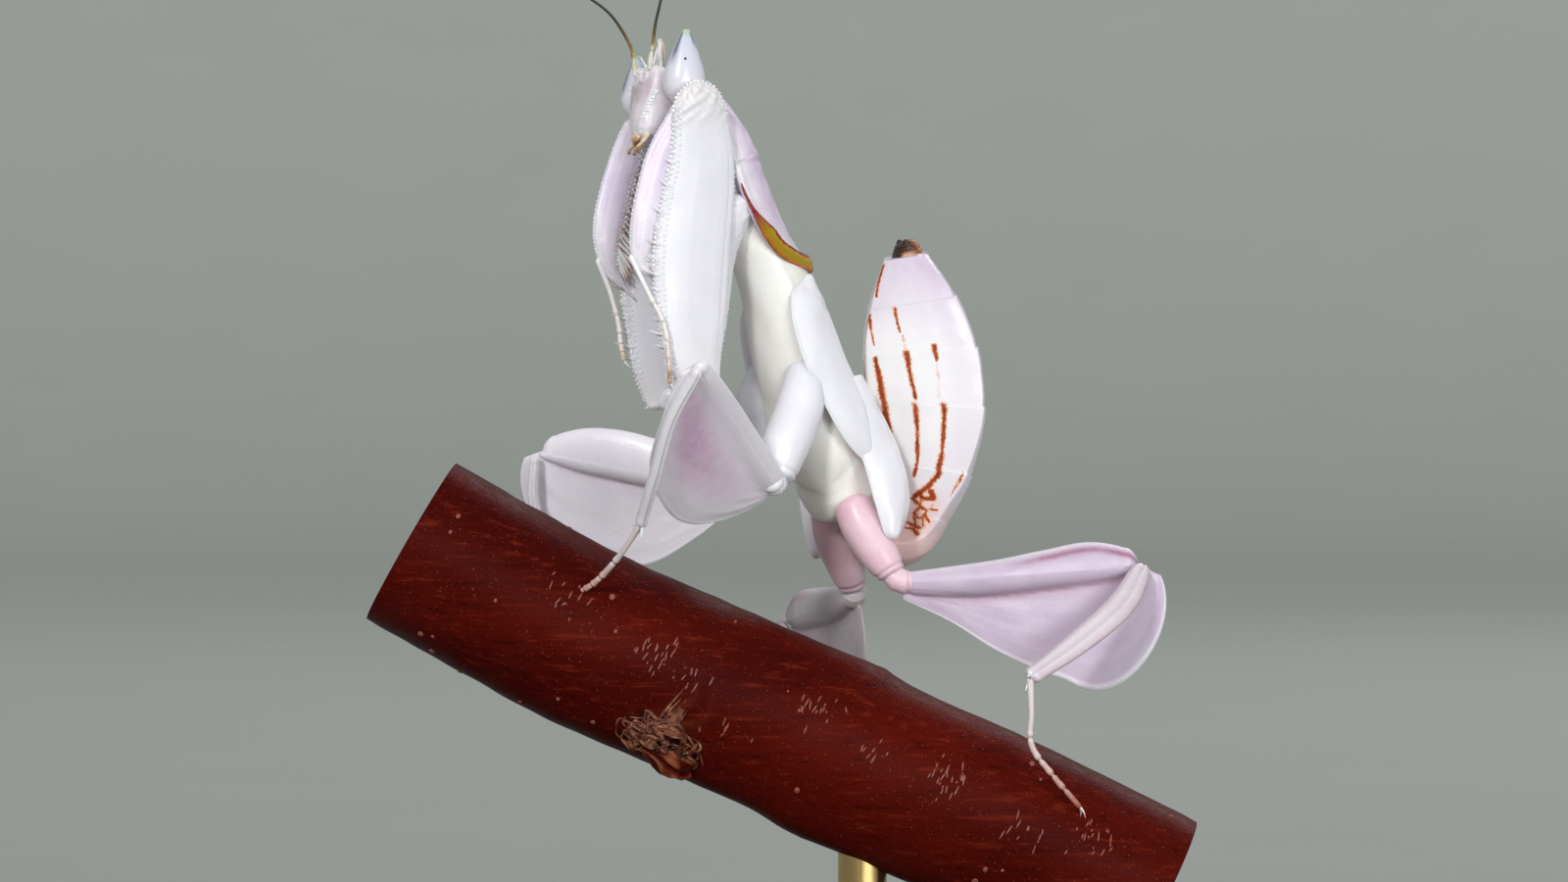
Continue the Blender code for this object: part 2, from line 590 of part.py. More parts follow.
WALKING = {
    "mid_left": dict(coxa=[(0.3, -1.7, 3.9), (-0.6, -2.7, 1.8), (-1.9, -3.3, -0.4), (-2.6, -3.6, -2.0)],
                     hip=(-2.85, -3.95, -2.15), knee=(-10.3, -9.3, 3.75), lobe=(0.1, 0.8, -1.0),
                     rod=[0.5, 0.65, 0.68, 0.65, 0.6, 0.45], crest=[0.6, 0.7, 0.7, 0.7, 0.65, 0.5],
                     reach=[1.0, 4.6, 4.9, 4.1, 2.6, 0.9], leans=[-40, -14, -4, 0, 2, 20],
                     ankle=(-10.2, -3.35, -4.2),
                     toes=[(-10.3, -1.6, -5.6), (-10.5, 0.6, -7.0), (-10.9, 2.2, -7.75)]),
    "mid_right": dict(coxa=[(0.3, 1.7, 3.9), (0.0, 2.6, 2.0), (-0.1, 3.2, -0.2), (-0.2, 3.4, -2.2)],
                      hip=(-0.55, 3.75, -2.35), knee=(-8.05, 11.1, -0.5), lobe=(0.2, 0.17, -1.0),
                      rod=[0.5, 0.7, 0.75, 0.72, 0.65, 0.45], crest=[0.6, 1.2, 1.65, 1.85, 1.6, 0.7],
                      reach=[0.8, 3.3, 5.0, 5.6, 5.2, 1.1], leans=[-4, 0, 0, 3, 11, 60],
                      ankle=(-6.7, 10.3, -8.3),
                      toes=[(-6.1, 9.5, -9.5), (-5.7, 8.9, -10.8), (-5.1, 8.5, -12.0)]),
    "hind_left": dict(coxa=[(2.9, -1.6, -2.9), (3.3, -2.3, -4.4), (3.9, -3.0, -5.8), (4.4, -3.5, -6.9)],
                      hip=(4.85, -3.75, -7.15), knee=(16.2, -8.2, -6.35), lobe=(0.1, 0.0, -1.0),
                      rod=[0.55, 0.85, 0.88, 0.78, 0.66, 0.5], crest=[0.45, 0.6, 0.78, 1.1, 1.35, 0.8],
                      reach=[0.9, 2.25, 4.05, 5.4, 6.1, 1.3], leans=[-5, -3, 0, 3, 12, 62],
                      ankle=(7.9, -10.9, -11.9),
                      toes=[(8.1, -10.8, -13.6), (8.25, -10.6, -15.3), (9.3, -10.9, -16.8),
                            (10.8, -11.2, -18.5)]),
    "hind_right": dict(coxa=[(3.4, 1.3, -2.9), (4.1, 1.9, -4.8), (5.0, 2.3, -6.4), (5.7, 2.6, -7.7)],
                       hip=(5.95, 3.0, -8.05), knee=(8.8, 14.3, -9.5), lobe=(0.25, 0.0, -1.0),
                       rod=[0.55, 0.8, 0.82, 0.75, 0.66, 0.5], crest=[0.5, 0.75, 0.95, 1.15, 1.2, 0.6],
                       reach=[0.9, 3.5, 4.4, 5.5, 5.9, 1.3], leans=[-40, -22, -6, 3, 14, 62],
                       ankle=(7.8, 5.6, -14.4),
                       toes=[(8.0, 4.2, -15.4), (8.2, 2.6, -16.5), (8.4, 1.1, -17.6)]),
}


def foreleg(frame, word, spec):
    """The folded grasping leg: hip, broad thigh, curved shin with its end claw, and the slim foot."""
    side = -1 if word == "left" else 1
    flat = (0.0, 1.0, 0.0)
    limb(f"fore_coxa_{word}", spec["coxa"], [0.9, 0.95, 0.95, 0.6], [0.6, 0.45, 0.42, 0.4], flat,
         white_cuticle(), frame, 7, 10)
    limb(f"fore_femur_{word}", spec["femur"], [0.85, 1.55, 1.85, 1.75, 1.15], [0.4, 0.42, 0.45, 0.42, 0.3],
         flat, white_cuticle(), frame, 9, 10)
    limb(f"fore_tibia_{word}", spec["tibia"] + spec["claw"], [0.5, 0.72, 0.88, 0.88, 0.68, 0.36, 0.26],
         [0.35, 0.4, 0.42, 0.42, 0.4, 0.3, 0.26], flat, lilac_cuticle(), frame, 10, 8)
    limb(f"fore_tarsus_{word}", spec["tarsus"], [FEELER] * 4, [FEELER] * 4, flat, white_cuticle(), frame,
         7, 6)
    clear_of(f"fore_coxa_{word}", "prothorax", "mesothorax", "pronotum", "pronotum_band")
    clear_of(f"fore_femur_{word}", f"fore_coxa_{word}", "head", f"eye_{word}", "pronotum", "prothorax")
    clear_of(f"fore_tibia_{word}", f"fore_femur_{word}", "head", "mouthparts", f"eye_{word}")
    clear_of(f"fore_tarsus_{word}", f"fore_tibia_{word}", f"fore_femur_{word}")


def walking_leg(frame, name, spec):
    """Hip, thigh with its petal lobe, narrow shin and slim foot."""
    pair, word = name.split("_")
    finish = petal_cuticle() if pair == "mid" else pink_cuticle()
    hip_finish = white_cuticle() if pair == "mid" else pink_cuticle()
    knee, ankle = np.array(spec["knee"]), np.array(spec["ankle"])
    hip = np.array(spec["hip"])
    down = unit(ankle - knee)
    back = unit(hip - knee)
    thick = [0.95, 1.08, 0.98, 0.75] if pair == "mid" else [0.9, 1.0, 0.9, 0.65]
    limb(f"{pair}_coxa_{word}", spec["coxa"], thick, thick, (1, 0, 0), hip_finish, frame, 6, 8)
    lobed_femur(f"{pair}_femur_{word}", hip, knee, spec["rod"], spec["crest"], spec["lobe"], spec["reach"],
                spec["leans"], finish, frame)
    front = lobe_frame(hip, knee, spec["lobe"])[2]
    bow = -unit(back - down * np.dot(back, down))
    shin = [knee + front * 0.85 - back * 0.1, knee + (ankle - knee) * 0.3 + front * 0.8 + bow * 0.7,
            knee + (ankle - knee) * 0.65 + front * 0.35 + bow * 0.5, ankle]
    wide = [0.42, 0.5, 0.46, 0.32] if pair == "mid" else [0.5, 0.76, 0.7, 0.46]
    limb(f"{pair}_tibia_{word}", shin, wide, [0.36, 0.34, 0.3, 0.27], np.cross(down, back), finish, frame,
         7, 8)
    foot = [ankle + down * 0.15] + [np.array(p) for p in spec["toes"]]
    limb(f"{pair}_tarsus_{word}", foot, [FEELER] * 4, [FEELER] * 4, (1, 0, 0), white_cuticle(), frame, 8, 6)
    trunk_parts = ("mesothorax", "metathorax") if pair == "mid" else ("metathorax", "abdomen_1", "abdomen_2")
    clear_of(f"{pair}_coxa_{word}", *trunk_parts)
    if pair == "mid":
        clear_of(f"mid_coxa_{word}", f"forewing_pad_{word}")
    clear_of(f"{pair}_femur_{word}", f"{pair}_coxa_{word}")
    clear_of(f"{pair}_tibia_{word}", f"{pair}_femur_{word}")
    clear_of(f"{pair}_tarsus_{word}", f"{pair}_tibia_{word}", "perch")


def build():
    frame = mantis_frame()
    stand_base()
    perch()
    perch_knot()
    stand_rod()
    trunk(frame)
    pronotum(frame)
    pronotum_band(frame)
    head(frame)
    for side, word in ((-1, "left"), (1, "right")):
        eye(frame, f"eye_{word}", side)
        antenna(frame, f"antenna_{word}", side)
    crown(frame)
    mouthparts(frame)
    neck(frame)
    abdomen(frame)
    abdomen_tip(frame)
    wing_pads(frame)
    for word, spec in FORE.items():
        foreleg(frame, word, spec)
    for name, spec in WALKING.items():
        walking_leg(frame, name, spec)
    clear_of("head", "eye_left", "eye_right")
    clear_of("crown", "head")
    clear_of("mouthparts", "head")
    for word in ("left", "right"):
        clear_of(f"antenna_{word}", "head", "crown")
    clear_of("neck", "head", "prothorax", "pronotum")
    clear_of("pronotum", "pronotum_band")
    clear_of("prothorax", "pronotum", "pronotum_band")
    clear_of("mesothorax", "pronotum_band", "pronotum", gap=COLLAR_GAP)


clear_scene()
OBJECT_PARTS = new_collection("orchid_mantis")
CUTTER_PARTS = new_collection("cutters")
CUTTER_PARTS.hide_render = True
build()
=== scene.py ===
# %% [markdown]
# The orchid mantis, dressed.
# This lesson puts a skin of fine detail over a plain solid model of an orchid mantis nymph that
# stands on a cut length of branch. The solid model fixes where everything is and how big it is.
# Here we give each piece its true surface: thin petals, pearly beads, spines, bark and wood.
# All lengths are written in millimetres, because that is how one measures an insect, and they are
# turned into Blender's metres in one place only.

# %% Load the solid model
import math

import bmesh
import bpy
import numpy as np
from mathutils import Matrix, Vector


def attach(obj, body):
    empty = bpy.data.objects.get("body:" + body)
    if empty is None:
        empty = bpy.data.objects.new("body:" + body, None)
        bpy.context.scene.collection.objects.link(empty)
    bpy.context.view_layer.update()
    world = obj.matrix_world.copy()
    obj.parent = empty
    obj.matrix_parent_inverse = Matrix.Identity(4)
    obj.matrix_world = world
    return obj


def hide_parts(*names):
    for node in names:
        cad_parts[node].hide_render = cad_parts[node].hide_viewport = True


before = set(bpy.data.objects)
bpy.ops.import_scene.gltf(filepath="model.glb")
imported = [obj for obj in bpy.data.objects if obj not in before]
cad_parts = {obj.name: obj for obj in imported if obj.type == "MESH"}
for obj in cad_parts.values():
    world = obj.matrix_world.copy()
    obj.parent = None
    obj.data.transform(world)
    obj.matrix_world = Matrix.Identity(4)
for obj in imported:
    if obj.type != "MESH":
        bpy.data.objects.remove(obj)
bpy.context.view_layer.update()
MM = 0.001

# %% [markdown]
# The insect has its own frame, in which forward is -X, its left side is -Y and up is +Z.
# Thinking in that frame is easier, because its two sides differ only in the sign of y.
# One matrix then carries every point to its place above the stand, turned a little to the viewer.

# %% The insect's own frame
LIFT, TURN = 36.0, 30.0
INSECT = Matrix.Translation((0.0, 0.0, LIFT)) @ Matrix.Rotation(math.radians(TURN), 4, "Z")
WORLD = Matrix.Identity(4)


def carried(points, matrix):
    """Points in millimetres, taken through a matrix."""
    turn = np.array(matrix.to_3x3())
    return points @ turn.T + np.array(matrix.translation)


print("the insect's frame stands", LIFT, "mm up and is turned", TURN, "degrees")

# %% [markdown]
# Nearly every piece of an insect is a bent, tapering body: a limb, a plate, a feeler.
# So the main tool here is a smooth curve through a few given values. A Catmull-Rom curve
# passes through each value, which makes it easy to steer, and it works for points and for widths.

# %% Smooth curves through a few values
def along(values, share):
    """Values at shares from 0 to 1 of an evenly spaced list, on a smooth curve through it."""
    values = np.array(values, float)
    share = np.clip(np.atleast_1d(share), 0.0, 1.0) * (len(values) - 1)
    i = np.minimum(share.astype(int), len(values) - 2)
    t = share - i
    padded = np.concatenate([[2 * values[0] - values[1]], values, [2 * values[-1] - values[-2]]])
    before, a, b, after = padded[i], padded[i + 1], padded[i + 2], padded[i + 3]
    if values.ndim > 1:
        t = t[:, None]
    return 0.5 * (2 * a + (b - before) * t + (2 * before - 5 * a + 4 * b - after) * t ** 2
                  + (3 * a - before - 3 * b + after) * t ** 3)


def unit(v):
    return v / np.maximum(np.linalg.norm(v, axis=-1, keepdims=True), 1e-12)


def heading(path, share, step=0.004):
    return unit(along(path, np.minimum(share + step, 1.0)) - along(path, np.maximum(share - step, 0.0)))


def mirrored(points, side):
    """Left-hand points as given (side -1), or their mirror image on the right (side 1)."""
    return [(x, -side * y, z) for x, y, z in points]


def bump_at(x, centre, width):
    """A smooth hill of height 1 round a centre."""
    return np.exp(-((x - centre) / width) ** 2)


def within(x):
    """Each number held between 0 and 1."""
    return np.clip(x, 0, 1)


def rounded_end(run, share, least=4e-4):
    """How wide a body has grown, a run from its end, where it closes as half an ellipse."""
    return np.sqrt(np.clip(1 - within(1 - run / share) ** 2, least, 1))


def crossed(s, a):
    """Shares down and angles across, each spread over the whole grid."""
    return s[:, None] + 0 * a[None], a[None] + 0 * s[:, None]


def angle_of(marks):
    return marks["around"] * 2 * math.pi


def ripples(x, y, seed, waves=9, finest=6.0):
    """A soft uneven field between about -1 and 1: a sum of sine waves with seeded directions."""
    rng = np.random.default_rng(seed)
    total = 0.0
    for _ in range(waves):
        fx, fy = rng.uniform(-finest, finest, 2)
        total = total + np.sin(2 * math.pi * (fx * x + fy * y) + rng.uniform(0, 6.28))
    return total / math.sqrt(waves * 2)


print("half way along 0, 1, 4:", along([0, 1, 4], 0.5))

# %% [markdown]
# A piece is stored as a grid of points: rings one after another, each with the same number of
# points. A grid is easy to sculpt in code. We find its outward direction everywhere and push each
# point out or in by a height, as with a finger in clay. The pushed-in places are remembered as a
# mark, and the finishes darken them with it: painted shade in the creases.

# %% Sculpting a grid of points
def outward(grid):
    """The direction out of the surface at each point of a grid of rings."""
    around = np.roll(grid, -1, axis=1) - np.roll(grid, 1, axis=1)
    way = unit(np.cross(np.gradient(grid, axis=0), around))
    spread = grid - grid.mean(axis=1, keepdims=True)
    return way * math.copysign(1.0, float((way * spread).sum()))


def raised(grid, height):
    return grid + outward(grid) * height[..., None]


def tube(path, widths, depths, flat, stations=60, sides=32, ends=(0.06, 0.06), power=1.0, relief=None):
    """A limb along a smooth path, with its marks. Widths lie square to the flat way, depths along it.

    The flat way is one direction, or a list of them that changes along the path. The ends close as
    half an ellipse over the given shares of the length. relief(s, a) gives the height to add, in
    millimetres, at share s and angle a; a is 0 on the width side.
    """
    s = 0.5 - 0.5 * np.cos(np.linspace(0.0, math.pi, stations))
    s = 0.35 * s + 0.65 * np.linspace(0.0, 1.0, stations)
    a = np.linspace(0.0, 2 * math.pi, sides, endpoint=False)
    close = np.ones(stations)
    if ends[0]:
        close *= rounded_end(s, ends[0])
    if ends[1]:
        close *= rounded_end(1 - s, ends[1])
    ahead = heading(path, s)
    lie = along(flat, s) if np.ndim(flat) == 2 else np.array(flat, float)
    across = unit(np.cross(ahead, lie))
    rise = np.cross(across, ahead)
    c = np.sign(np.cos(a)) * np.abs(np.cos(a)) ** power
    d = np.sign(np.sin(a)) * np.abs(np.sin(a)) ** power
    wide = (along(widths, s) * close)[:, None, None] * c[None, :, None] * across[:, None, :]
    deep = (along(depths, s) * close)[:, None, None] * d[None, :, None] * rise[:, None, :]
    grid = along(path, s)[:, None, :] + wide + deep
    s, a = crossed(s, a)
    marks = {"along": s, "around": a / (2 * math.pi), "scar_and_crease_shade": 0 * s}
    if relief:
        height = relief(s, a) * close[:, None]
        grid = raised(grid, height)
        # The pushed-in places, kept for painted shade in the creases.
        marks["scar_and_crease_shade"] = within(-height / 0.12)
    return grid, marks


print("a tube is a grid of", tube([(0, 0, 0), (0, 0, 1)], [1, 1], [1, 1], (0, 1, 0))[0].shape)

# %% [markdown]
# Now the grids become meshes. Each ring is joined to the next with four-sided faces and each end
# is closed with a fan. Small things such as spines are many little grids in one mesh, which keeps
# the scene light. The marks go along as point attributes, and the finishes read them by name.

# %% From grids to pieces
MARK_NAMES = ("along", "around", "scar_and_crease_shade", "tint", "blush", "stripe")


def grid_faces(rows, columns, first):
    """The four-sided faces of a closed grid, then the two end fans."""
    i, j = np.meshgrid(np.arange(rows - 1), np.arange(columns), indexing="ij")
    k = (j + 1) % columns
    quads = np.stack([i * columns + j, i * columns + k, (i + 1) * columns + k, (i + 1) * columns + j], -1)
    j = np.arange(columns)
    k = (j + 1) % columns
    last, low, high = (rows - 1) * columns, rows * columns, rows * columns + 1
    fans = [np.stack([k, j, np.full(columns, low)], -1),
            np.stack([last + j, last + k, np.full(columns, high)], -1)]
    return (quads.reshape(-1, 4) + first).tolist() + (np.concatenate(fans) + first).tolist()


def piece(name, grids, finish, stands_for=(), where=INSECT):
    """One named object from (grid, marks) pairs: closed, smooth, and riding on the still body."""
    points, faces, marks = [], [], {mark: [] for mark in MARK_NAMES}
    first = 0
    for grid, found in grids:
        rows, columns, _ = grid.shape
        points += [grid.reshape(-1, 3), grid[0].mean(0)[None], grid[-1].mean(0)[None]]
        faces += grid_faces(rows, columns, first)
        first += rows * columns + 2
        for mark in MARK_NAMES:
            values = np.broadcast_to(found.get(mark, 0.0), (rows, columns))
            marks[mark] += [values.ravel(), [values[0].mean()], [values[-1].mean()]]
    mesh = bpy.data.meshes.new(name)
    mesh.from_pydata((carried(np.concatenate(points), where) * MM).tolist(), [], faces)
    for mark in MARK_NAMES:
        values = np.concatenate(marks[mark])
        if values.any():
            mesh.attributes.new(mark, "FLOAT", "POINT").data.foreach_set("value", values.astype(np.float32))
    tidy = bmesh.new()
    tidy.from_mesh(mesh)
    bmesh.ops.recalc_face_normals(tidy, faces=tidy.faces)
    tidy.to_mesh(mesh)
    tidy.free()
    mesh.shade_smooth()
    mesh.materials.append(finish)
    obj = bpy.data.objects.new(name, mesh)
    bpy.context.scene.collection.objects.link(obj)
    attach(obj, "root")
    if stands_for:
        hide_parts(*stands_for)
    size = [round(v / MM, 1) for v in obj.dimensions]
    print(f"{name}: {len(mesh.polygons)} faces, {size} mm")
    return obj


# %% [markdown]
# A finish is a small network of nodes. Writing each node by hand is long, so this helper class
# adds one node per call and hands back its output. Patterns come from noise, from the place on the
# surface and from the marks, never from a picture. What is the same all over a surface, such as
# how deep light sinks in, is set on the shader itself.

# %% A helper for node finishes
class Finish:
    """One node material, built a node at a time."""

    def __init__(self, name, **settings):
        self.material = bpy.data.materials.new(name)
        self.material.use_nodes = True
        self.tree = self.material.node_tree
        self.shader = self.tree.nodes["Principled BSDF"]
        for socket, value in settings.items():
            self.shader.inputs[socket.replace("_", " ")].default_value = value
        self.place = self.add("ShaderNodeTexCoord").outputs["Object"]

    def add(self, kind, **settings):
        node = self.tree.nodes.new(kind)
        for key, value in settings.items():
            setattr(node, key, value)
        return node

    def feed(self, value, socket):
        """Links an output to a socket, or sets the socket to a plain number or colour."""
        if isinstance(value, bpy.types.NodeSocket):
            self.tree.links.new(value, socket)
        elif isinstance(value, tuple) and len(value) == 3 and socket.type == "RGBA":
            socket.default_value = (*value, 1.0)
        else:
            socket.default_value = value

    def mark(self, name):
        return self.add("ShaderNodeAttribute", attribute_name=name).outputs["Fac"]

    def stretched(self, scale, turn=(0.0, 0.0, 0.0)):
        node = self.add("ShaderNodeMapping")
        self.feed(self.place, node.inputs["Vector"])
        node.inputs["Scale"].default_value = scale
        node.inputs["Rotation"].default_value = turn
        return node.outputs["Vector"]

    def noise(self, size, detail=2.0, place=None, rough=0.5):
        """Noise whose blotches are about this many millimetres across."""
        node = self.add("ShaderNodeTexNoise")
        self.feed(place or self.place, node.inputs["Vector"])
        node.inputs["Scale"].default_value = 1.0 / (size * MM)
        node.inputs["Detail"].default_value = detail
        node.inputs["Roughness"].default_value = rough
        return node.outputs["Fac"]

    def cells(self, size):
        node = self.add("ShaderNodeTexVoronoi")
        self.feed(self.place, node.inputs["Vector"])
        node.inputs["Scale"].default_value = 1.0 / (size * MM)
        return node.outputs["Distance"]

    def maths(self, operation, a, b=0.0):
        node = self.add("ShaderNodeMath", operation=operation)
        self.feed(a, node.inputs[0])
        self.feed(b, node.inputs[1])
        return node.outputs[0]

    def ranged(self, value, low, high, to_low=0.0, to_high=1.0):
        node = self.add("ShaderNodeMapRange", interpolation_type="SMOOTHSTEP")
        for socket, number in zip(("Value", "From Min", "From Max", "To Min", "To Max"),
                                  (value, low, high, to_low, to_high)):
            self.feed(number, node.inputs[socket])
        return node.outputs["Result"]

    def ramp(self, value, stops):
        node = self.add("ShaderNodeValToRGB")
        elements = node.color_ramp.elements
        while len(elements) < len(stops):
            elements.new(0.5)
        for element, (position, colour) in zip(elements, stops):
            element.position = position
            element.color = (*colour, 1.0)
        self.feed(value, node.inputs["Fac"])
        return node.outputs["Color"]

    def blend(self, share, a, b):
        node = self.add("ShaderNodeMix", data_type="RGBA")
        self.feed(share, node.inputs["Factor"])
        self.feed(a, node.inputs[6])
        self.feed(b, node.inputs[7])
        return node.outputs[2]

    def wear(self, colour, roughness, height=None, depth=0.02):
        """Connects the colour, the roughness and a bump whose full height is depth millimetres."""
        self.feed(colour, self.shader.inputs["Base Color"])
        self.feed(roughness, self.shader.inputs["Roughness"])
        if height is not None:
            node = self.add("ShaderNodeBump")
            node.inputs["Distance"].default_value = depth * MM
            self.feed(height, node.inputs["Height"])
            self.feed(node.outputs["Normal"], self.shader.inputs["Normal"])
        return self.material


print("finish helper ready")

# %% [markdown]
# Insect skin is called cuticle. On this animal it is waxy and a little see-through, like a petal or
# a thin china cup, so light sinks in and comes out again softly. We copy that with subsurface
# scattering a few tenths of a millimetre deep, plus a soft shine, faint cloudy tints, and a bump so
# fine that one only sees it as a broken highlight. One function serves for each colour of cuticle.

# %% Cuticle finishes
SKIN_DEPTH, SKIN_PITS, SKIN_GRAIN = 0.6, 0.008, 0.12


def cuticle(name, pale, deep, crease, tinted, blushed=None, shine=0.34):
    """Waxy cuticle: pale with cloudy patches of a deeper colour, painted shade in the creases, and marked
    tints.
    """
    made = Finish(name, Subsurface_Weight=0.4, Subsurface_Scale=SKIN_DEPTH * MM,
                  Subsurface_Radius=(1.0, 0.74, 0.78), Coat_Weight=0.16, Coat_Roughness=0.24, IOR=1.46)
    cloud = made.ranged(made.noise(2.6, 3.0), 0.35, 0.7)
    colour = made.blend(cloud, pale, deep)
    uneven = made.ranged(made.noise(0.5, 3.0), 0.2, 0.8, 0.75, 1.1)
    for mark, shade in (("tint", tinted), ("blush", blushed)):
        if shade:
            colour = made.blend(made.maths("MULTIPLY", made.mark(mark), uneven), colour, shade)
    # Painted shade: the crease colour laid into the pushed-in places. The next line adds a faint random grain
    # of the same colour.
    colour = made.blend(made.maths("MULTIPLY", made.mark("scar_and_crease_shade"), 0.7), colour, crease)
    fine = made.noise(SKIN_GRAIN, 4.0, rough=0.6)
    colour = made.blend(made.ranged(fine, 0.4, 0.8, 0.0, 0.06), colour, crease)
    rough = made.ranged(made.noise(0.9, 3.0), 0.3, 0.7, shine - 0.05, shine + 0.1)
    pits = made.maths("ADD", made.maths("MULTIPLY", fine, 0.6), made.cells(0.16))
    return made.wear(colour, rough, pits, SKIN_PITS)


WHITE = cuticle("white_wax", (0.85, 0.85, 0.91), (0.81, 0.81, 0.87), (0.70, 0.64, 0.66), (0.70, 0.63, 0.68),
                (0.82, 0.79, 0.72))
CREAM = cuticle("cream_thorax", (0.93, 0.92, 0.88), (0.90, 0.885, 0.84), (0.68, 0.61, 0.50),
                (0.80, 0.75, 0.64))
LILAC = cuticle("lilac_shield", (0.79, 0.68, 0.83), (0.73, 0.61, 0.78), (0.52, 0.38, 0.50),
                (0.87, 0.85, 0.87))
PETAL = cuticle("lilac_petal", (0.90, 0.87, 0.95), (0.86, 0.82, 0.92), (0.56, 0.46, 0.56), (0.72, 0.70, 0.73),
                (0.64, 0.42, 0.58))
# Its tint colour serves the dark-pink streak along the hind thighs and the painted shadow below their rods.
PINK = cuticle("pink_petal", (0.62, 0.53, 0.65), (0.57, 0.47, 0.61), (0.40, 0.20, 0.27), (0.32, 0.09, 0.17),
               (0.84, 0.80, 0.87))
SHIN = cuticle("glossy_shin", (0.84, 0.77, 0.90), (0.78, 0.69, 0.86), (0.50, 0.38, 0.46), (0.88, 0.85, 0.88),
               shine=0.26)
GREY_SHIN = cuticle("clear_shin", (0.72, 0.66, 0.71), (0.64, 0.58, 0.64), (0.44, 0.32, 0.37),
                    (0.58, 0.44, 0.50),
                    shine=0.28)
HIP = cuticle("rosy_hip", (0.84, 0.62, 0.70), (0.80, 0.53, 0.62), (0.46, 0.24, 0.28), (0.88, 0.84, 0.86),
              shine=0.36)
FACE = cuticle("face_skin", (0.82, 0.79, 0.83), (0.75, 0.69, 0.76), (0.60, 0.48, 0.54), (0.55, 0.44, 0.49),
               (0.93, 0.91, 0.92))
CROWN = cuticle("crown_leaf", (0.88, 0.86, 0.86), (0.84, 0.81, 0.80), (0.60, 0.48, 0.40), (0.50, 0.30, 0.07))
# Painted shade: a duller, darker copy of the pink petal for the right hind leg, which lies in the body's
# shadow.
PAINTED_SHADE_PINK = cuticle("shaded_petal", (0.60, 0.53, 0.58), (0.50, 0.46, 0.49), (0.32, 0.22, 0.25),
                   (0.50, 0.30, 0.38),
                   (0.66, 0.60, 0.65))
print("cuticles:", [m.name for m in (WHITE, CREAM, LILAC, PETAL, PINK, SHIN, GREY_SHIN, HIP, FACE, CROWN,
                                     PAINTED_SHADE_PINK)])

# %% [markdown]
# The abdomen is china white with a lilac flush towards its tip, and carries broken rusty stripes.
# The stripes arrive as a mark that is highest along each stripe's middle. Noise nibbles at its
# edge, so that the stripe looks like pigment under wax and not like a painted line.

# %% Abdomen finish
def striped_cuticle():
    made = Finish("striped_abdomen", Subsurface_Weight=0.35, Subsurface_Scale=0.4 * MM,
                  Subsurface_Radius=(1.0, 0.74, 0.78), Coat_Weight=0.2, Coat_Roughness=0.2, IOR=1.46)
    cloud = made.ranged(made.noise(3.0, 3.0), 0.35, 0.7)
    colour = made.blend(cloud, (0.94, 0.93, 0.95), (0.90, 0.88, 0.93))
    colour = made.blend(made.mark("tint"), colour, (0.66, 0.57, 0.70))
    colour = made.blend(made.mark("blush"), colour, (0.84, 0.55, 0.50))
    nibble = made.maths("MULTIPLY", made.ranged(made.noise(0.14, 3.0, rough=0.6), 0.3, 0.7, -1.0, 1.0), 0.2)
    near = made.ranged(made.mark("stripe"), 0.02, 0.15)
    stripe = made.maths("ADD", made.mark("stripe"), made.maths("MULTIPLY", nibble, near))
    colour = made.blend(made.ranged(stripe, 0.02, 0.26, 0.0, 0.7), colour, (0.86, 0.52, 0.38))
    colour = made.blend(made.ranged(stripe, 0.22, 0.48, 0.0, 0.85), colour, (0.66, 0.24, 0.055))
    rust = made.blend(made.ranged(made.noise(0.5, 2.0), 0.35, 0.65), (0.24, 0.026, 0.006),
                      (0.42, 0.07, 0.012))
    colour = made.blend(made.ranged(stripe, 0.42, 0.75), colour, rust)
    # Painted shade where one ring slips under the next.
    colour = made.blend(made.maths("MULTIPLY", made.mark("scar_and_crease_shade"), 0.6), colour, (0.66, 0.58, 0.60))
    fine = made.noise(0.12, 4.0, rough=0.6)
    rough = made.ranged(made.noise(0.9, 3.0), 0.3, 0.7, 0.28, 0.42)
    return made.wear(colour, rough, made.maths("ADD", fine, made.cells(0.2)), 0.008)


ABDOMEN_SKIN = striped_cuticle()
print("abdomen finish:", ABDOMEN_SKIN.name)

# %% [markdown]
# Claws, spine tips and mouthparts are thicker cuticle, hard and amber to nearly black. Their
# colour runs along their length, which the mark called along gives us. Feelers are dull olive
# brown and pale at the root.

# %% Hard and dark finishes
def run_of_colour(name, stops, shine, grime=0.12, **settings):
    """A hard cuticle whose colour follows the length of each little body."""
    made = Finish(name, IOR=1.5, **settings)
    drift = made.ranged(made.noise(0.4, 3.0), 0.3, 0.7, -0.04, 0.04)
    colour = made.ramp(made.maths("ADD", made.mark("along"), drift), stops)
    fine = made.noise(0.1, 4.0)
    colour = made.blend(made.ranged(fine, 0.4, 0.8, 0.0, grime), colour, (0.08, 0.04, 0.02))
    return made.wear(colour, made.ranged(fine, 0.3, 0.7, shine - 0.05, shine + 0.12), fine, 0.006)


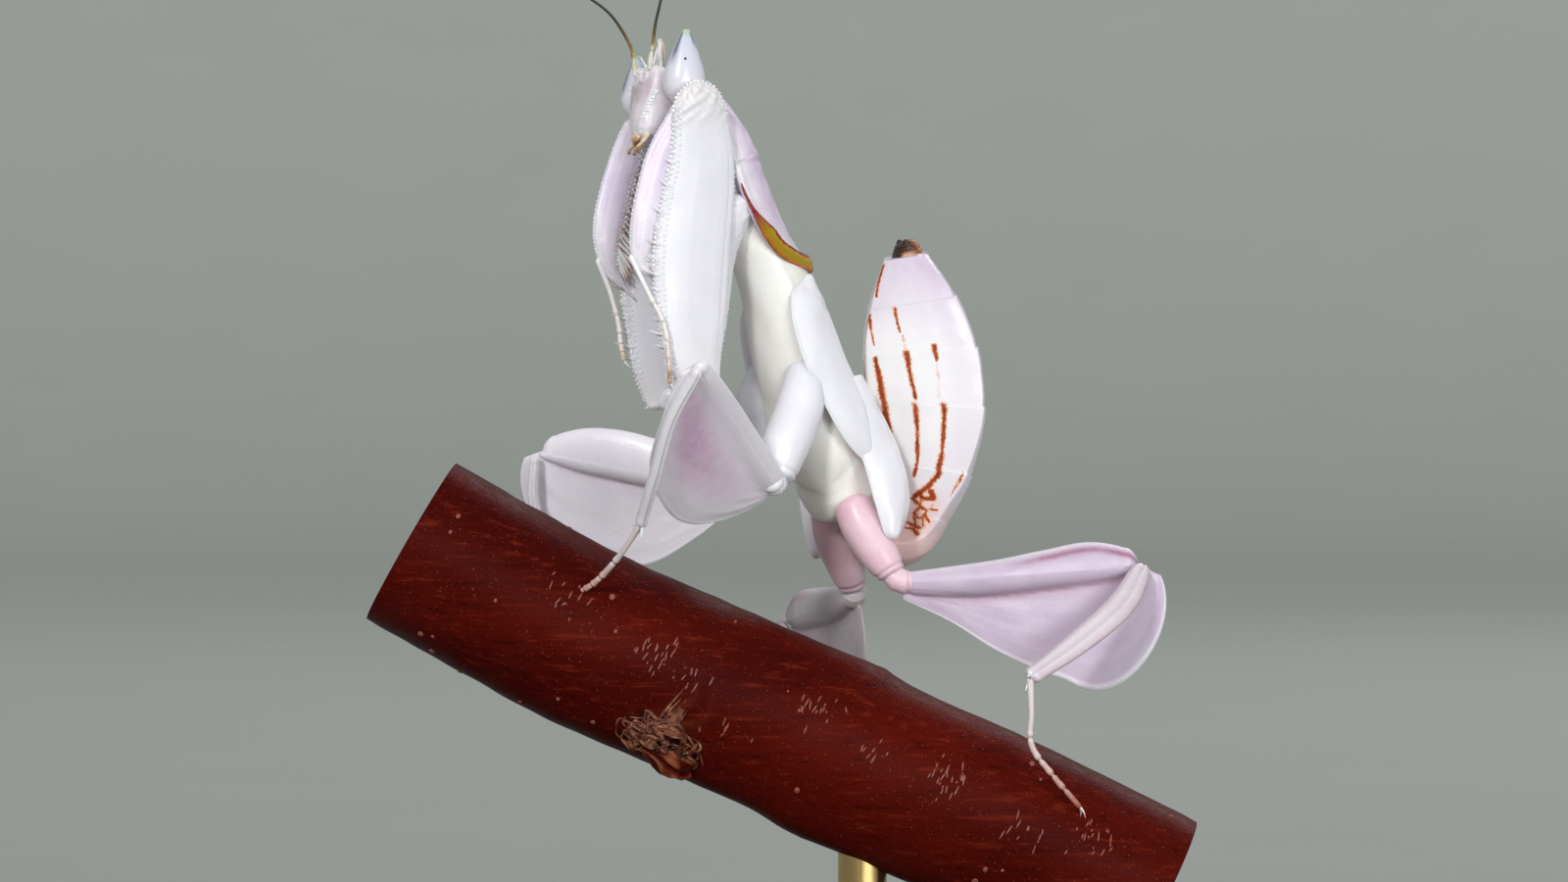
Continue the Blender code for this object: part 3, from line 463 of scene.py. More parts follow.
CLAW = run_of_colour("horn_spine", [(0.0, (0.88, 0.86, 0.88)), (0.7, (0.82, 0.76, 0.76)),
                                    (0.88, (0.60, 0.44, 0.34)), (1.0, (0.10, 0.05, 0.03))], 0.24, 0.05,
                     Coat_Weight=0.3, Subsurface_Weight=0.3, Subsurface_Scale=0.2 * MM)
FEELER_SKIN = run_of_colour("olive_feeler", [(0.0, (0.80, 0.79, 0.74)), (0.10, (0.60, 0.60, 0.42)),
                                             (0.16, (0.30, 0.20, 0.05)), (0.26, (0.09, 0.06, 0.014)),
                                             (0.4, (0.022, 0.024, 0.006)), (1.0, (0.014, 0.016, 0.005))], 0.5)
MOUTH = run_of_colour("golden_mouth", [(0.0, (0.84, 0.78, 0.76)), (0.4, (0.78, 0.66, 0.50)),
                                       (0.8, (0.48, 0.28, 0.12)), (1.0, (0.12, 0.06, 0.03))], 0.28, 0.3,
                      Coat_Weight=0.3, Subsurface_Weight=0.2, Subsurface_Scale=0.25 * MM)
PEARL = run_of_colour("pearly_bead", [(0.0, (0.90, 0.88, 0.90)), (0.7, (0.92, 0.91, 0.94)),
                                      (1.0, (0.90, 0.87, 0.91))], 0.2, 0.03, Coat_Weight=0.5,
                      Subsurface_Weight=0.3, Subsurface_Scale=0.2 * MM)
TIP_SHELL = run_of_colour("dark_tip", [(0.0, (0.64, 0.46, 0.40)), (0.22, (0.58, 0.38, 0.30)),
                                       (0.4, (0.36, 0.14, 0.04)), (0.62, (0.07, 0.03, 0.02)),
                                       (1.0, (0.012, 0.009, 0.008))], 0.32, 0.15)
FOOT = run_of_colour("pale_foot", [(0.0, (0.78, 0.73, 0.74)), (0.45, (0.72, 0.62, 0.62)),
                                   (0.75, (0.62, 0.40, 0.34)), (1.0, (0.36, 0.10, 0.06))], 0.3, 0.08,
                     Subsurface_Weight=0.35, Subsurface_Scale=0.25 * MM)
TRAP_FOOT = run_of_colour("trap_foot", [(0.0, (0.88, 0.86, 0.87)), (0.72, (0.85, 0.80, 0.77)),
                                        (0.92, (0.70, 0.56, 0.42)), (1.0, (0.30, 0.16, 0.05))], 0.26, 0.05,
                          Subsurface_Weight=0.35, Subsurface_Scale=0.2 * MM)
print("hard finishes ready")

# %% [markdown]
# The collar behind the shield is a small jewel: olive green in the middle, burnt orange at both
# edges, and wine red where it thins out along the sides. The mark called tint runs across it, from
# the hind edge to the front edge, and the mark called stripe says how near its middle we are.

# %% Collar finish
def collar_finish():
    made = Finish("olive_collar", Coat_Weight=0.12, Coat_Roughness=0.2, IOR=1.42,
                  Subsurface_Weight=0.12, Subsurface_Scale=0.2 * MM)
    streaks = made.noise(0.25, 4.0)
    across = made.maths("ADD", made.mark("tint"), made.ranged(streaks, 0.3, 0.7, -0.08, 0.08))
    jewel = made.ramp(across,
                      [(0.0, (0.09, 0.012, 0.004)), (0.14, (0.20, 0.034, 0.004)), (0.28, (0.62, 0.24, 0.010)),
                       (0.40, (0.44, 0.26, 0.005)), (0.62, (0.32, 0.26, 0.004)),
                       (0.86, (0.52, 0.18, 0.010)), (1.0, (0.34, 0.09, 0.010))])
    wine = made.ramp(across,
                     [(0.0, (0.46, 0.10, 0.11)), (0.3, (0.26, 0.012, 0.020)), (0.7, (0.18, 0.008, 0.014)),
                      (1.0, (0.40, 0.06, 0.08))])
    colour = made.blend(made.mark("stripe"), wine, jewel)
    return made.wear(colour, made.ranged(streaks, 0.3, 0.7, 0.2, 0.36), streaks, 0.01)


COLLAR = collar_finish()

# %% [markdown]
# The eyes are tall cones of smooth cuticle, white as china. Thousands of tiny facets lie just
# under the shine. Two dark-blue lines run up to a pale green knob at the tip, and one black dot
# looks back at whoever looks at the animal, wherever they stand. A model can't do that, so the
# dot is painted in one fixed place on the outer side.

# %% Eye finish
def eye_finish():
    made = Finish("cone_eye", Subsurface_Weight=0.35, Subsurface_Scale=0.5 * MM, Coat_Weight=0.4,
                  Coat_Roughness=0.14, IOR=1.46)
    height = made.mark("along")
    lines = made.noise(0.5, 3.0, made.stretched((3.4, 3.4, 0.35)))
    colour = made.ramp(height,
                       [(0.0, (0.74, 0.68, 0.76)), (0.3, (0.75, 0.74, 0.81)), (0.65, (0.70, 0.71, 0.81)),
                        (0.88, (0.62, 0.67, 0.78)), (0.94, (0.50, 0.60, 0.52)),
                        (1.0, (0.50, 0.64, 0.42))])
    faint = made.maths("MULTIPLY", made.ranged(lines, 0.48, 0.66), made.ranged(height, 0.3, 0.8, 0.0, 0.15))
    colour = made.blend(faint, colour, (0.50, 0.55, 0.68))
    colour = made.blend(made.mark("tint"), colour, (0.09, 0.12, 0.24))
    colour = made.blend(made.mark("stripe"), colour, (0.004, 0.004, 0.006))
    facets = made.cells(0.035)
    return made.wear(colour, made.ranged(lines, 0.3, 0.7, 0.2, 0.3), facets, 0.0015)


EYE = eye_finish()
print("collar and eye finishes:", COLLAR.name, EYE.name)

# %% [markdown]
# The branch is young wood with a thin, polished, dark-red bark. Three things make it read as bark:
# fine streaks drawn out along the branch, a few lenticels, the pale corky pores that a twig
# breathes through, and little groups of short cross cracks. The noise is squeezed across the
# branch to make the streaks. Real bark of this kind is glossy. Its shine is kept very low here,
# because the wide lamps would otherwise lay a grey veil over the dark red.

# %% Bark, wood and metal finishes
BRANCH_SLOPE = math.atan2(-18.4, 38.0)


def bark_finish():
    made = Finish("dark_red_bark", IOR=1.35, Specular_IOR_Level=0.05)
    lie = (0.0, BRANCH_SLOPE, 0.0)
    streak = made.noise(0.35, 5.0, made.stretched((0.07, 1.0, 1.0), lie), rough=0.6)
    broad = made.noise(5.0, 2.0, made.stretched((0.35, 1.0, 1.0), lie))
    colour = made.blend(made.ranged(broad, 0.3, 0.7), (0.050, 0.0024, 0.0011), (0.080, 0.0044, 0.0018))
    colour = made.blend(made.ranged(streak, 0.54, 0.74, 0.0, 0.6), colour, (0.17, 0.018, 0.007))
    colour = made.blend(made.ranged(streak, 0.46, 0.28, 0.0, 0.7), colour, (0.028, 0.002, 0.0012))
    dust = made.noise(0.10, 2.0)
    colour = made.blend(made.ranged(dust, 0.66, 0.74, 0.0, 0.45), colour, (0.34, 0.12, 0.07))
    colour = made.blend(made.mark("tint"), colour, (0.30, 0.10, 0.045))
    # Near black where the mark lies: the scar's mound in its own dark colour, and painted shade in the
    # troughs of its wrinkles and of the knot's lips.
    colour = made.blend(made.mark("scar_and_crease_shade"), colour, (0.012, 0.004, 0.003))
    rough = made.ranged(streak, 0.3, 0.7, 0.34, 0.5)
    return made.wear(colour, rough, made.maths("ADD", streak, made.noise(0.15, 3.0)), 0.02)


def pore_finish():
    made = Finish("corky_pore", IOR=1.45)
    crumbs = made.noise(0.08, 3.0)
    colour = made.blend(made.ranged(crumbs, 0.35, 0.65), (0.16, 0.04, 0.025), (0.31, 0.10, 0.075))
    return made.wear(colour, 0.6, crumbs, 0.02)


def fibre_finish():
    made = Finish("scar_fibre", IOR=1.45, Coat_Weight=0.1)
    patch = made.noise(0.5, 3.0)
    colour = made.ramp(patch, [(0.3, (0.03, 0.007, 0.004)), (0.45, (0.10, 0.022, 0.009)),
                               (0.58, (0.20, 0.065, 0.028)), (0.72, (0.34, 0.16, 0.09))])
    return made.wear(colour, 0.5, made.noise(0.1, 3.0), 0.02)


def end_grain():
    """A sawn end: pale wood with yearly rings round a pith, and the saw's fine scratches."""
    made = Finish("sawn_end", IOR=1.45)
    rings = made.maths("SINE", made.maths("MULTIPLY", made.mark("along"), 40.0))
    colour = made.blend(made.ranged(rings, -0.6, 1.0), (0.52, 0.33, 0.17), (0.36, 0.20, 0.09))
    colour = made.blend(made.ranged(made.mark("along"), 0.93, 0.98), colour, (0.10, 0.02, 0.012))
    saw = made.noise(0.25, 3.0, made.stretched((1.0, 0.12, 1.0)))
    colour = made.blend(made.ranged(saw, 0.45, 0.75, 0.0, 0.5), colour, (0.24, 0.13, 0.06))
    return made.wear(colour, 0.72, saw, 0.06)


def plinth_finish():
    made = Finish("walnut_plinth", Coat_Weight=0.3, Coat_Roughness=0.25, IOR=1.48)
    grain = made.noise(1.8, 6.0, made.stretched((0.07, 1.0, 1.0)), rough=0.6)
    pore = made.noise(0.28, 3.0, made.stretched((0.06, 1.0, 1.0)))
    colour = made.ramp(grain, [(0.3, (0.035, 0.018, 0.010)), (0.48, (0.085, 0.042, 0.022)),
                               (0.56, (0.055, 0.027, 0.014)), (0.72, (0.125, 0.066, 0.034))])
    colour = made.blend(made.ranged(pore, 0.55, 0.7, 0.0, 0.7), colour, (0.020, 0.010, 0.006))
    return made.wear(colour, made.ranged(grain, 0.3, 0.7, 0.34, 0.5), pore, 0.03)


def brass_finish():
    made = Finish("satin_brass", Metallic=1.0, Anisotropic=0.3)
    brushed = made.noise(0.3, 4.0, made.stretched((1.0, 1.0, 0.04)))
    colour = made.blend(made.ranged(made.noise(1.6, 3.0), 0.4, 0.75, 0.0, 0.6), (0.64, 0.45, 0.19),
                        (0.42, 0.27, 0.10))
    return made.wear(colour, made.ranged(brushed, 0.3, 0.7, 0.22, 0.4), brushed, 0.006)


BARK, PORE, FIBRE, SAWN = bark_finish(), pore_finish(), fibre_finish(), end_grain()
PLINTH, BRASS = plinth_finish(), brass_finish()
print("branch and stand finishes:", [m.name for m in (BARK, PORE, FIBRE, SAWN, PLINTH, BRASS)])

# %% [markdown]
# A pale animal is hard to light: on a white table it would vanish. So the floor is a pale grey
# green, curved up far behind like a studio's paper sweep, on every side. One sun-like lamp from
# the front, a little to the left and above, models the forms. A round soft lamp opens the
# shadows, and a smaller one from behind draws a bright edge round the petals.

# %% Studio sweep
FLOOR_RADIUS, SWEEP_RADIUS = 1.7, 0.9


def sweep():
    profile = [(FLOOR_RADIUS * share, 0.0) for share in np.linspace(0.02, 1.0, 12)]
    for angle in np.linspace(0.0, math.pi / 2, 14)[1:]:
        profile.append((FLOOR_RADIUS + SWEEP_RADIUS * math.sin(angle), SWEEP_RADIUS * (1 - math.cos(angle))))
    bm = bmesh.new()
    turns = 96
    rings = [[bm.verts.new((r * math.cos(2 * math.pi * k / turns), r * math.sin(2 * math.pi * k / turns), z))
              for k in range(turns)] for r, z in profile]
    for inner, outer in zip(rings, rings[1:]):
        for k in range(turns):
            bm.faces.new((inner[k], outer[k], outer[(k + 1) % turns], inner[(k + 1) % turns]))
    bm.faces.new(rings[0])
    mesh = bpy.data.meshes.new("studio_sweep")
    bm.to_mesh(mesh)
    bm.free()
    mesh.shade_smooth()
    made = Finish("sweep_paper")
    paper = made.noise(40.0, 3.0)
    mesh.materials.append(made.wear(made.blend(paper, (0.345, 0.375, 0.345), (0.365, 0.395, 0.365)), 0.9))
    obj = bpy.data.objects.new("studio_sweep", mesh)
    bpy.context.scene.collection.objects.link(obj)


sweep()
print("sweep radius:", FLOOR_RADIUS + SWEEP_RADIUS, "m")

# %% [markdown]
# The camera stands level with the animal's chest, a third of a metre away, and looks through a
# long lens, as one does for small animals. A long lens keeps near and far legs at one scale.
# Aiming is one line: a camera looks along its own -Z, and to_track_quat finds the turn for it.

# %% Camera and lamps
AIM = Vector((0.0, 0.0, LIFT * MM))
DISTANCE, FRAME_WIDTH, SENSOR = 0.322, 0.080, 36.0


def aimed(obj, place, target):
    obj.location = place
    obj.rotation_euler = (Vector(target) - Vector(place)).to_track_quat("-Z", "Y").to_euler()
    bpy.context.scene.collection.objects.link(obj)
    return obj


camera = bpy.data.cameras.new("camera")
camera.sensor_width = SENSOR
camera.lens = SENSOR * DISTANCE / FRAME_WIDTH
camera.clip_start, camera.clip_end = 0.01, 20.0
bpy.context.scene.camera = aimed(bpy.data.objects.new("camera", camera), AIM + Vector((0, -DISTANCE, 0)), AIM)


def softbox(name, place, size, power, colour=(1.0, 1.0, 1.0)):
    light = bpy.data.lights.new(name, "AREA")
    light.shape, light.size, light.energy, light.color = "DISK", size, power, colour
    return aimed(bpy.data.objects.new(name, light), place, AIM)


key = bpy.data.lights.new("key_lamp", "SUN")
key.energy, key.angle, key.color = 1.6, 0.14, (1.0, 0.985, 0.965)
aimed(bpy.data.objects.new("key_lamp", key), (-0.28, -0.86, 0.44), AIM)
softbox("fill_lamp", (0.36, -0.74, 0.04), 0.5, 4.9, (0.98, 0.99, 1.0))
softbox("rim_lamp", (0.35, 0.65, 0.60), 0.35, 1.2)
world = bpy.data.worlds.new("studio_air")
world.use_nodes = True
world.node_tree.nodes["Background"].inputs["Color"].default_value = (0.97, 0.97, 1.0, 1.0)
world.node_tree.nodes["Background"].inputs["Strength"].default_value = 0.45
bpy.context.scene.world = world
bpy.context.scene.view_settings.view_transform = "Standard"

# %% [markdown]
# The perch is a cut length of a young branch. On a real branch nothing is quite straight or
# round: it swells at a node where a leaf once sat, and its bark is drawn into shallow waves.
# Near the middle a side twig has come off, and the bark has healed over the wound as an oval
# scar, with wrinkles that fan out upwards. All of that is height added to a tube.

# %% Perch
PERCH_AXIS = [(-19.0, -5.1), (-15.0, -7.4), (-10.0, -10.1), (-5.0, -12.3), (0.0, -14.5), (5.0, -16.9),
              (10.0, -19.1), (15.0, -21.5), (19.0, -23.5)]
PERCH_RADIUS, PERCH_LENGTH = 4.6, 42.2
PERCH_RUN, PERCH_START = 38, 19
NODE_X, NODE_SWELL = 2.5, 0.05
SCAR_SHARE, SCAR_ANGLE = 0.375, 3.98
perch_path = [(x, 0.0, height + LIFT) for x, height in PERCH_AXIS]


def scar_pattern(s, a):
    """The scar's mound, the fan above it, and its wrinkles from -1 to 1."""
    u = (s - SCAR_SHARE) * PERCH_LENGTH
    v = np.angle(np.exp(1j * (a - SCAR_ANGLE))) * PERCH_RADIUS
    mound = np.exp(-(u / 1.75) ** 4 - (v / 1.25) ** 4)
    fan = np.exp(-((u - 0.25 * v) / (0.5 + 0.25 * np.abs(v))) ** 2 - ((v - 1.6) / 1.4) ** 2)
    swirl = 4.6 * u - 1.8 * v + 1.7 * np.sin(1.5 * v + 0.9 * u) + 1.3 * ripples(u / 6, v / 6, 17, finest=3)
    return mound, fan, np.sin(swirl)


def perch_relief(s, a):
    mound, fan, wrinkle = scar_pattern(s, a)
    height = 0.012 * np.sin(7 * a + 5 * s) + 0.03 * ripples(3 * s, a / 6.28, 7)
    height += PERCH_RADIUS * NODE_SWELL * bump_at(s * PERCH_RUN - PERCH_START, NODE_X, 1.6)
    height += 0.08 * bump_at(s * PERCH_RUN - PERCH_START, NODE_X + 0.4, 0.25) * (0.5 + 0.5 * np.cos(a - 1.0))
    return height - 0.02 + 0.22 * mound + 0.10 * wrinkle * np.maximum(mound, 0.6 * fan)


def perch():
    grid, marks = tube(perch_path, [PERCH_RADIUS] * 2, [PERCH_RADIUS] * 2, (0, 1, 0), 420, 200, (0, 0),
                       relief=perch_relief)
    mound, fan, wrinkle = scar_pattern(marks["along"], angle_of(marks))
    scarred = np.maximum(mound, 0.7 * fan)
    marks["tint"] = 0.2 * scarred * within(wrinkle) ** 2
    # The mound is darkened in the scar's own colour; the troughs of its wrinkles get painted shade.
    marks["scar_and_crease_shade"] = np.clip(0.9 * mound + 0.5 * scarred * within(-wrinkle), 0, 0.95)
    return piece("perch_bark", [(grid, marks)], BARK, ["perch"], WORLD)


def sawn_ends():
    grids = []
    for share, way in ((0.0, -1), (1.0, 1)):
        centre, ahead = along(perch_path, share)[0], heading(perch_path, share)[0] * way
        across = np.array([0.0, 1.0, 0.0])
        rise = np.cross(ahead, across)
        a = np.linspace(0, 2 * math.pi, 72, endpoint=False)
        radii = np.concatenate([np.linspace(0.02, 0.985, 26), [0.995, 0.995]])
        out = np.concatenate([0.05 - 0.03 * np.linspace(0, 1, 26) ** 6, [-0.02, -0.5]])
        ring = np.cos(a)[:, None] * across + np.sin(a)[:, None] * rise
        grid = (centre + ahead * out[:, None, None]
                + ring[None] * (PERCH_RADIUS * 0.985 * radii)[:, None, None])
        grids.append((grid, {"along": np.repeat(radii[:, None], 72, 1)}))
    return piece("perch_sawn_ends", grids, SAWN, [], WORLD)


perch()
sawn_ends()

# %% [markdown]
# Bark breathes through lenticels, small corky warts, and it cracks a little as the twig grows, in
# groups of short ticks across the branch. Both are far smaller than a face of the branch's mesh,
# so each one is its own little body, half sunk into the bark. Their places come from a seeded
# generator, so the branch is the same every time.

# %% Pores and ticks
def bark_point(s, a):
    """A point on the bark, the way out of it and the way along the branch, at share s and angle a."""
    ahead = heading(perch_path, s)[0]
    up = unit(np.cross(ahead, (0, 1, 0)))
    out = up * math.cos(a) + np.cross(up, ahead) * math.sin(a)
    return along(perch_path, s)[0] + out * (PERCH_RADIUS + perch_relief(s, a)), out, ahead


TICK_GROUPS = [(0.335, 4.93, 26), (0.385, 4.86, 8), (0.517, 5.06, 18), (0.60, 4.9, 8), (0.694, 4.97, 24),
               (0.80, 4.8, 10), (0.874, 5.06, 18), (0.44, 4.5, 7), (0.20, 5.1, 12), (0.2, 1.2, 14),
               (0.46, 2.2, 12), (0.63, 1.0, 14), (0.8, 1.9, 12)]


def pores_and_ticks():
    rng = np.random.default_rng(11)
    grids = []
    for _ in range(60):
        point, out, ahead = bark_point(rng.uniform(0.02, 0.98), rng.uniform(0, 2 * math.pi))
        r = rng.uniform(0.07, 0.17)
        grids.append(tube([point - out * 0.06, point, point + out * 0.06], [r * 1.3] * 3, [r] * 3, ahead,
                          9, 14, (0.5, 0.5)))
    for share, angle, count in TICK_GROUPS:
        for _ in range(count):
            point, out, ahead = bark_point(share + rng.normal(0, 0.014), angle + rng.normal(0, 0.10))
            way = unit(np.cross(out, ahead) + 0.2 * ahead * rng.normal()) * rng.uniform(0.06, 0.30)
            grids.append(tube([point - way, point + out * 0.012, point + way], [0.03, 0.045, 0.02],
                              [0.02] * 3,
                              out, 9, 8, (0.3, 0.3)))
    return piece("bark_pores", grids, PORE, [], WORLD)


pores_and_ticks()

# %% [markdown]
# The scar itself is a nest of woody fibres that curl round the old wound and fan out above it.
# They are thin bent tubes laid on the bark: arcs of an oval, then a few strands running up.

# %% Fibres of the scar
def scar_fibres():
    rng = np.random.default_rng(23)

    def spot(u, v, lift):
        point, out, _ = bark_point(SCAR_SHARE + u / PERCH_LENGTH, SCAR_ANGLE + v / PERCH_RADIUS)
        return point + out * lift

    grids = []
    for _ in range(64):
        start, span, size = rng.uniform(0, 2 * math.pi), rng.uniform(0.4, 2.1), rng.uniform(0.04, 1.0) ** 0.7
        turns, wave = start + span * np.linspace(0, 1, 5), 1 + 0.22 * rng.normal(size=5)
        line = [spot(2.0 * size * w * math.cos(t), 1.35 * size * w * math.sin(t), rng.uniform(0.0, 0.2))
                for t, w in zip(turns, wave)]
        r = rng.uniform(0.045, 0.13)
        grids.append(tube(line, [r * 0.4, r, r * 1.1, r, r * 0.3], [r * 0.7] * 5, (0, 1, 0), 26, 9,
                          (0.1, 0.1)))
    for _ in range(13):
        u, reach = rng.uniform(-1.0, 0.9), rng.uniform(1.2, 3.0)
        line = [spot(u, 0.7, 0.1), spot(0.6 * u, 0.7 + 0.4 * reach, 0.08),
                spot(0.3 * u + 0.35, 0.7 + reach, -0.02)]
        r = rng.uniform(0.05, 0.11)
        grids.append(tube(line, [r * 1.2, r, r * 0.3], [r * 0.6] * 3, (0, 1, 0), 26, 9, (0.1, 0.1)))
    return piece("perch_scar_fibres", grids, FIBRE, [], WORLD)


scar_fibres()

# %% [markdown]
# Under the scar sits the old stub of the twig, split and rough. New bark has rolled in over it in
# lips. Lips are ripples that run across the stub; splits are sharp grooves along it.

# %% Knot
def knot():
    def wrinkles(s, a):
        return np.sin(16 * s + 2.2 * np.sin(2 * a + 1) + 1.5 * ripples(2 * s, a / 6.28, 21, finest=3))

    def relief(s, a):
        splits = -0.14 * np.abs(np.sin(3.5 * a + 3 * s)) ** 0.3 * bump_at(s, 0.8, 0.35)
        return 0.10 * wrinkles(s, a) + splits + 0.06

    path = [(-5.2, -1.3, 21.8), (-5.6, -2.1, 20.5), (-5.9, -2.6, 19.7), (-6.25, -2.75, 19.15)]
    grid, marks = tube(path, [2.3, 1.9, 1.4, 0.8], [1.5, 1.3, 1.0, 0.6], (0, 1, 0), 70, 90, (0.04, 0.3),
                       relief=relief)
    ridges = wrinkles(marks["along"], angle_of(marks))
    marks["tint"] = 0.7 * within(ridges) ** 2
    # Painted shade in the troughs between the lips.
    marks["scar_and_crease_shade"] = 0.8 * within(-ridges)
    return piece("perch_knot_stub", [(grid, marks)], BARK, ["perch_knot"], WORLD)


knot()

# %% [markdown]
# The stand is plain museum work: a small walnut plinth with rounded corners and one cove run
# round its top edge, and a short brass rod with a turned collar where it enters the wood.
# The plinth is a stack of rounded rectangles, and the list says how far in and how high each lies.

# %% Stand
BASE_LENGTH, BASE_DEPTH, BASE_CORNER = 62.0, 46.0, 6.0
ROD_X, ROD_DEPTH = 4.0, 16.6


def rounded_rectangle(inset, height, per_corner=14):
    half_x, half_y = BASE_LENGTH / 2 - BASE_CORNER, BASE_DEPTH / 2 - BASE_CORNER
    ring = []
    for quarter, (sx, sy) in enumerate(((1, 1), (-1, 1), (-1, -1), (1, -1))):
        for angle in np.linspace(quarter, quarter + 1, per_corner) * math.pi / 2:
            r = BASE_CORNER - inset
            ring.append((sx * half_x + r * math.cos(angle), sy * half_y + r * math.sin(angle), height))
    return ring


def plinth():
    steps = [(0.5, 0.0), (0.25, 0.05), (0.05, 0.3), (0.0, 0.6), (0.0, 2.6), (0.05, 3.0), (0.3, 3.2),
             (0.42, 3.3)]
    steps += [(0.42 + 0.62 * math.sin(t), 3.3 + 1.0 * (1 - math.cos(t))) for t in np.linspace(0.15, 1.5, 7)]
    steps += [(1.1, 4.42), (1.12, 4.7), (1.22, 4.9), (1.42, 5.0), (1.8, 5.0), (4.5, 5.0)]
    grid = np.array([rounded_rectangle(inset, height) for inset, height in steps])
    return piece("stand_plinth", [(grid, {})], PLINTH, ["stand_base"], WORLD)


def turned(profile, x, sides=64):
    """A grid from a list of (radius, height), turned round an upright axis at x."""
    a = np.linspace(0, 2 * math.pi, sides, endpoint=False)
    return np.array([np.stack([x + r * np.cos(a), r * np.sin(a), np.full(sides, h)], 1) for r, h in profile])


def rod():
    top = LIFT - ROD_DEPTH
    rod_profile = [(1.1, 5.0), (1.25, 5.1), (1.25, 9.0), (1.25, top - 2.6), (1.25, top)]
    collar = [(1.2, 5.0), (2.75, 5.0), (2.9, 5.12), (2.9, 5.45), (2.7, 5.62), (2.2, 5.75), (1.9, 6.0),
              (1.85, 6.4),
              (2.0, 6.6), (1.95, 6.85), (1.6, 6.98), (1.2, 7.0)]
    grids = [(turned(rod_profile, ROD_X), {}), (turned(collar, ROD_X), {})]
    return piece("stand_brass_rod", grids, BRASS, ["stand_rod"], WORLD)


plinth()
rod()

# %% [markdown]
# The thorax is the chest, where all six legs are hung. On the living animal it is three rings
# grown together, so one skin covers them, with a groove where each ring ends and soft folds
# round the leg roots. The folds are ripples drawn out slantwise, strongest low down at the sides.

# %% Thorax
TRUNK_AXIS = [(-5.4, 16.5), (-4.4, 15.1), (-3.6, 13.6), (-2.9, 12.1), (-2.1, 10.6), (-1.2, 9.2),
              (-0.1, 6.9), (0.5, 4.7), (1.1, 2.7), (1.8, 0.8), (2.7, -1.1), (3.4, -2.6), (4.1, -3.7)]
TRUNK_HALF_WIDTH = [1.0, 1.5, 1.75, 1.85, 1.85, 1.9, 2.1, 2.25, 2.35, 2.35, 2.25, 2.1, 1.9]
TRUNK_HALF_DEPTH = [0.9, 1.2, 1.35, 1.4, 1.45, 1.6, 1.85, 1.95, 2.05, 2.1, 2.0, 1.85, 1.6]
MESOTHORAX_END = 0.68


def in_plane(points):
    return [(x, 0.0, z) for x, z in points]


def thorax_relief(s, a):
    side = np.abs(np.cos(a))
    wander = 0.02 * np.sin(2 * a + 1) + 0.012 * ripples(s, a / 6.28, 35, finest=3)
    height = -0.07 * bump_at(s + wander, MESOTHORAX_END, 0.014) * side
    height = height - 0.05 * bump_at(s + wander, 0.85, 0.012)
    slant = s * 26 + 2.4 * np.sin(a) + 1.4 * ripples(2 * s, a / 6.28, 31, finest=3)
    wrinkle = np.clip(np.sin(2 * math.pi * slant / 3.1), -1, 0.2) * within((s - 0.5) * 5)
    height += 0.09 * wrinkle * side * (1 - bump_at(s, 0.78, 0.07))
    height += 0.07 * ripples(2 * s, a / 3.14, 33, finest=3)
    height += 0.26 * bump_at(s, 0.79, 0.07) * within(side * 1.4 - 0.3)
    height += 0.10 * bump_at(s, 0.57, 0.05) * side ** 2
    return height


def thorax():
    grid, marks = tube(in_plane(TRUNK_AXIS), TRUNK_HALF_WIDTH, TRUNK_HALF_DEPTH, (1, 0, 0), 240, 110,
                       (0.05, 0.06), 0.92, thorax_relief)
    marks["tint"] = 0.3 * within((marks["along"] - 0.45) * 2.2) * bump_at(marks["along"], 0.68, 0.12)
    nodes = ["prothorax", "mesothorax", "metathorax"]
    return piece("thorax", [(grid, marks)], CREAM, nodes)


def neck():
    def folds(s, a):
        return 0.06 * np.sin(2 * math.pi * 6 * s) + 0.02 * ripples(s, a / 6.28, 41)

    path = [(-7.6, 0.15, 17.1), (-6.3, 0.1, 17.0), (-5.5, 0.0, 16.8), (-4.4, 0.0, 15.8)]
    grid, marks = tube(path, [0.8, 0.72, 0.8, 0.95], [0.8, 0.72, 0.8, 0.95], (0, 1, 0), 60, 40, (0.1, 0.1),
                       relief=folds)
    return piece("neck_folds", [(grid, marks)], CREAM, ["neck"])


thorax()
neck()

# %% [markdown]
# Over the front of the chest lies the pronotum, a saddle of thin horn. It is a bent plate with a
# rolled, beaded rim, one groove across it and a low keel.
# The plate's section is an outer arc and an inner arc, and only the outer one is sculpted.

# %% Shield
PRONOTUM_RIDGE = [(-4.7, 18.2), (-3.75, 17.3), (-2.75, 16.1), (-2.1, 15.0), (-1.85, 14.2), (-1.4, 13.2),
                  (-0.85, 12.0), (-0.2, 10.8), (0.55, 9.8), (1.2, 9.25)]
PRONOTUM_HALF_WIDTH = [0.9, 1.6, 2.15, 2.45, 2.45, 2.6, 2.55, 2.2, 1.6, 0.9]
PRONOTUM_DROP = [0.5, 1.3, 2.0, 2.4, 2.4, 2.5, 2.4, 2.0, 1.2, 0.5]
SHIELD_THICKNESS, SHIELD_GROOVE = 0.4, 0.40
ACROSS = np.array([0.0, 1.0, 0.0])


def shield_frame(s):
    ridge = in_plane(along(PRONOTUM_RIDGE, s))
    ahead = heading(in_plane(PRONOTUM_RIDGE), s)
    inward = np.cross(ahead, ACROSS)
    inward *= -np.sign(inward[:, :1])
    return np.array(ridge), ahead, inward


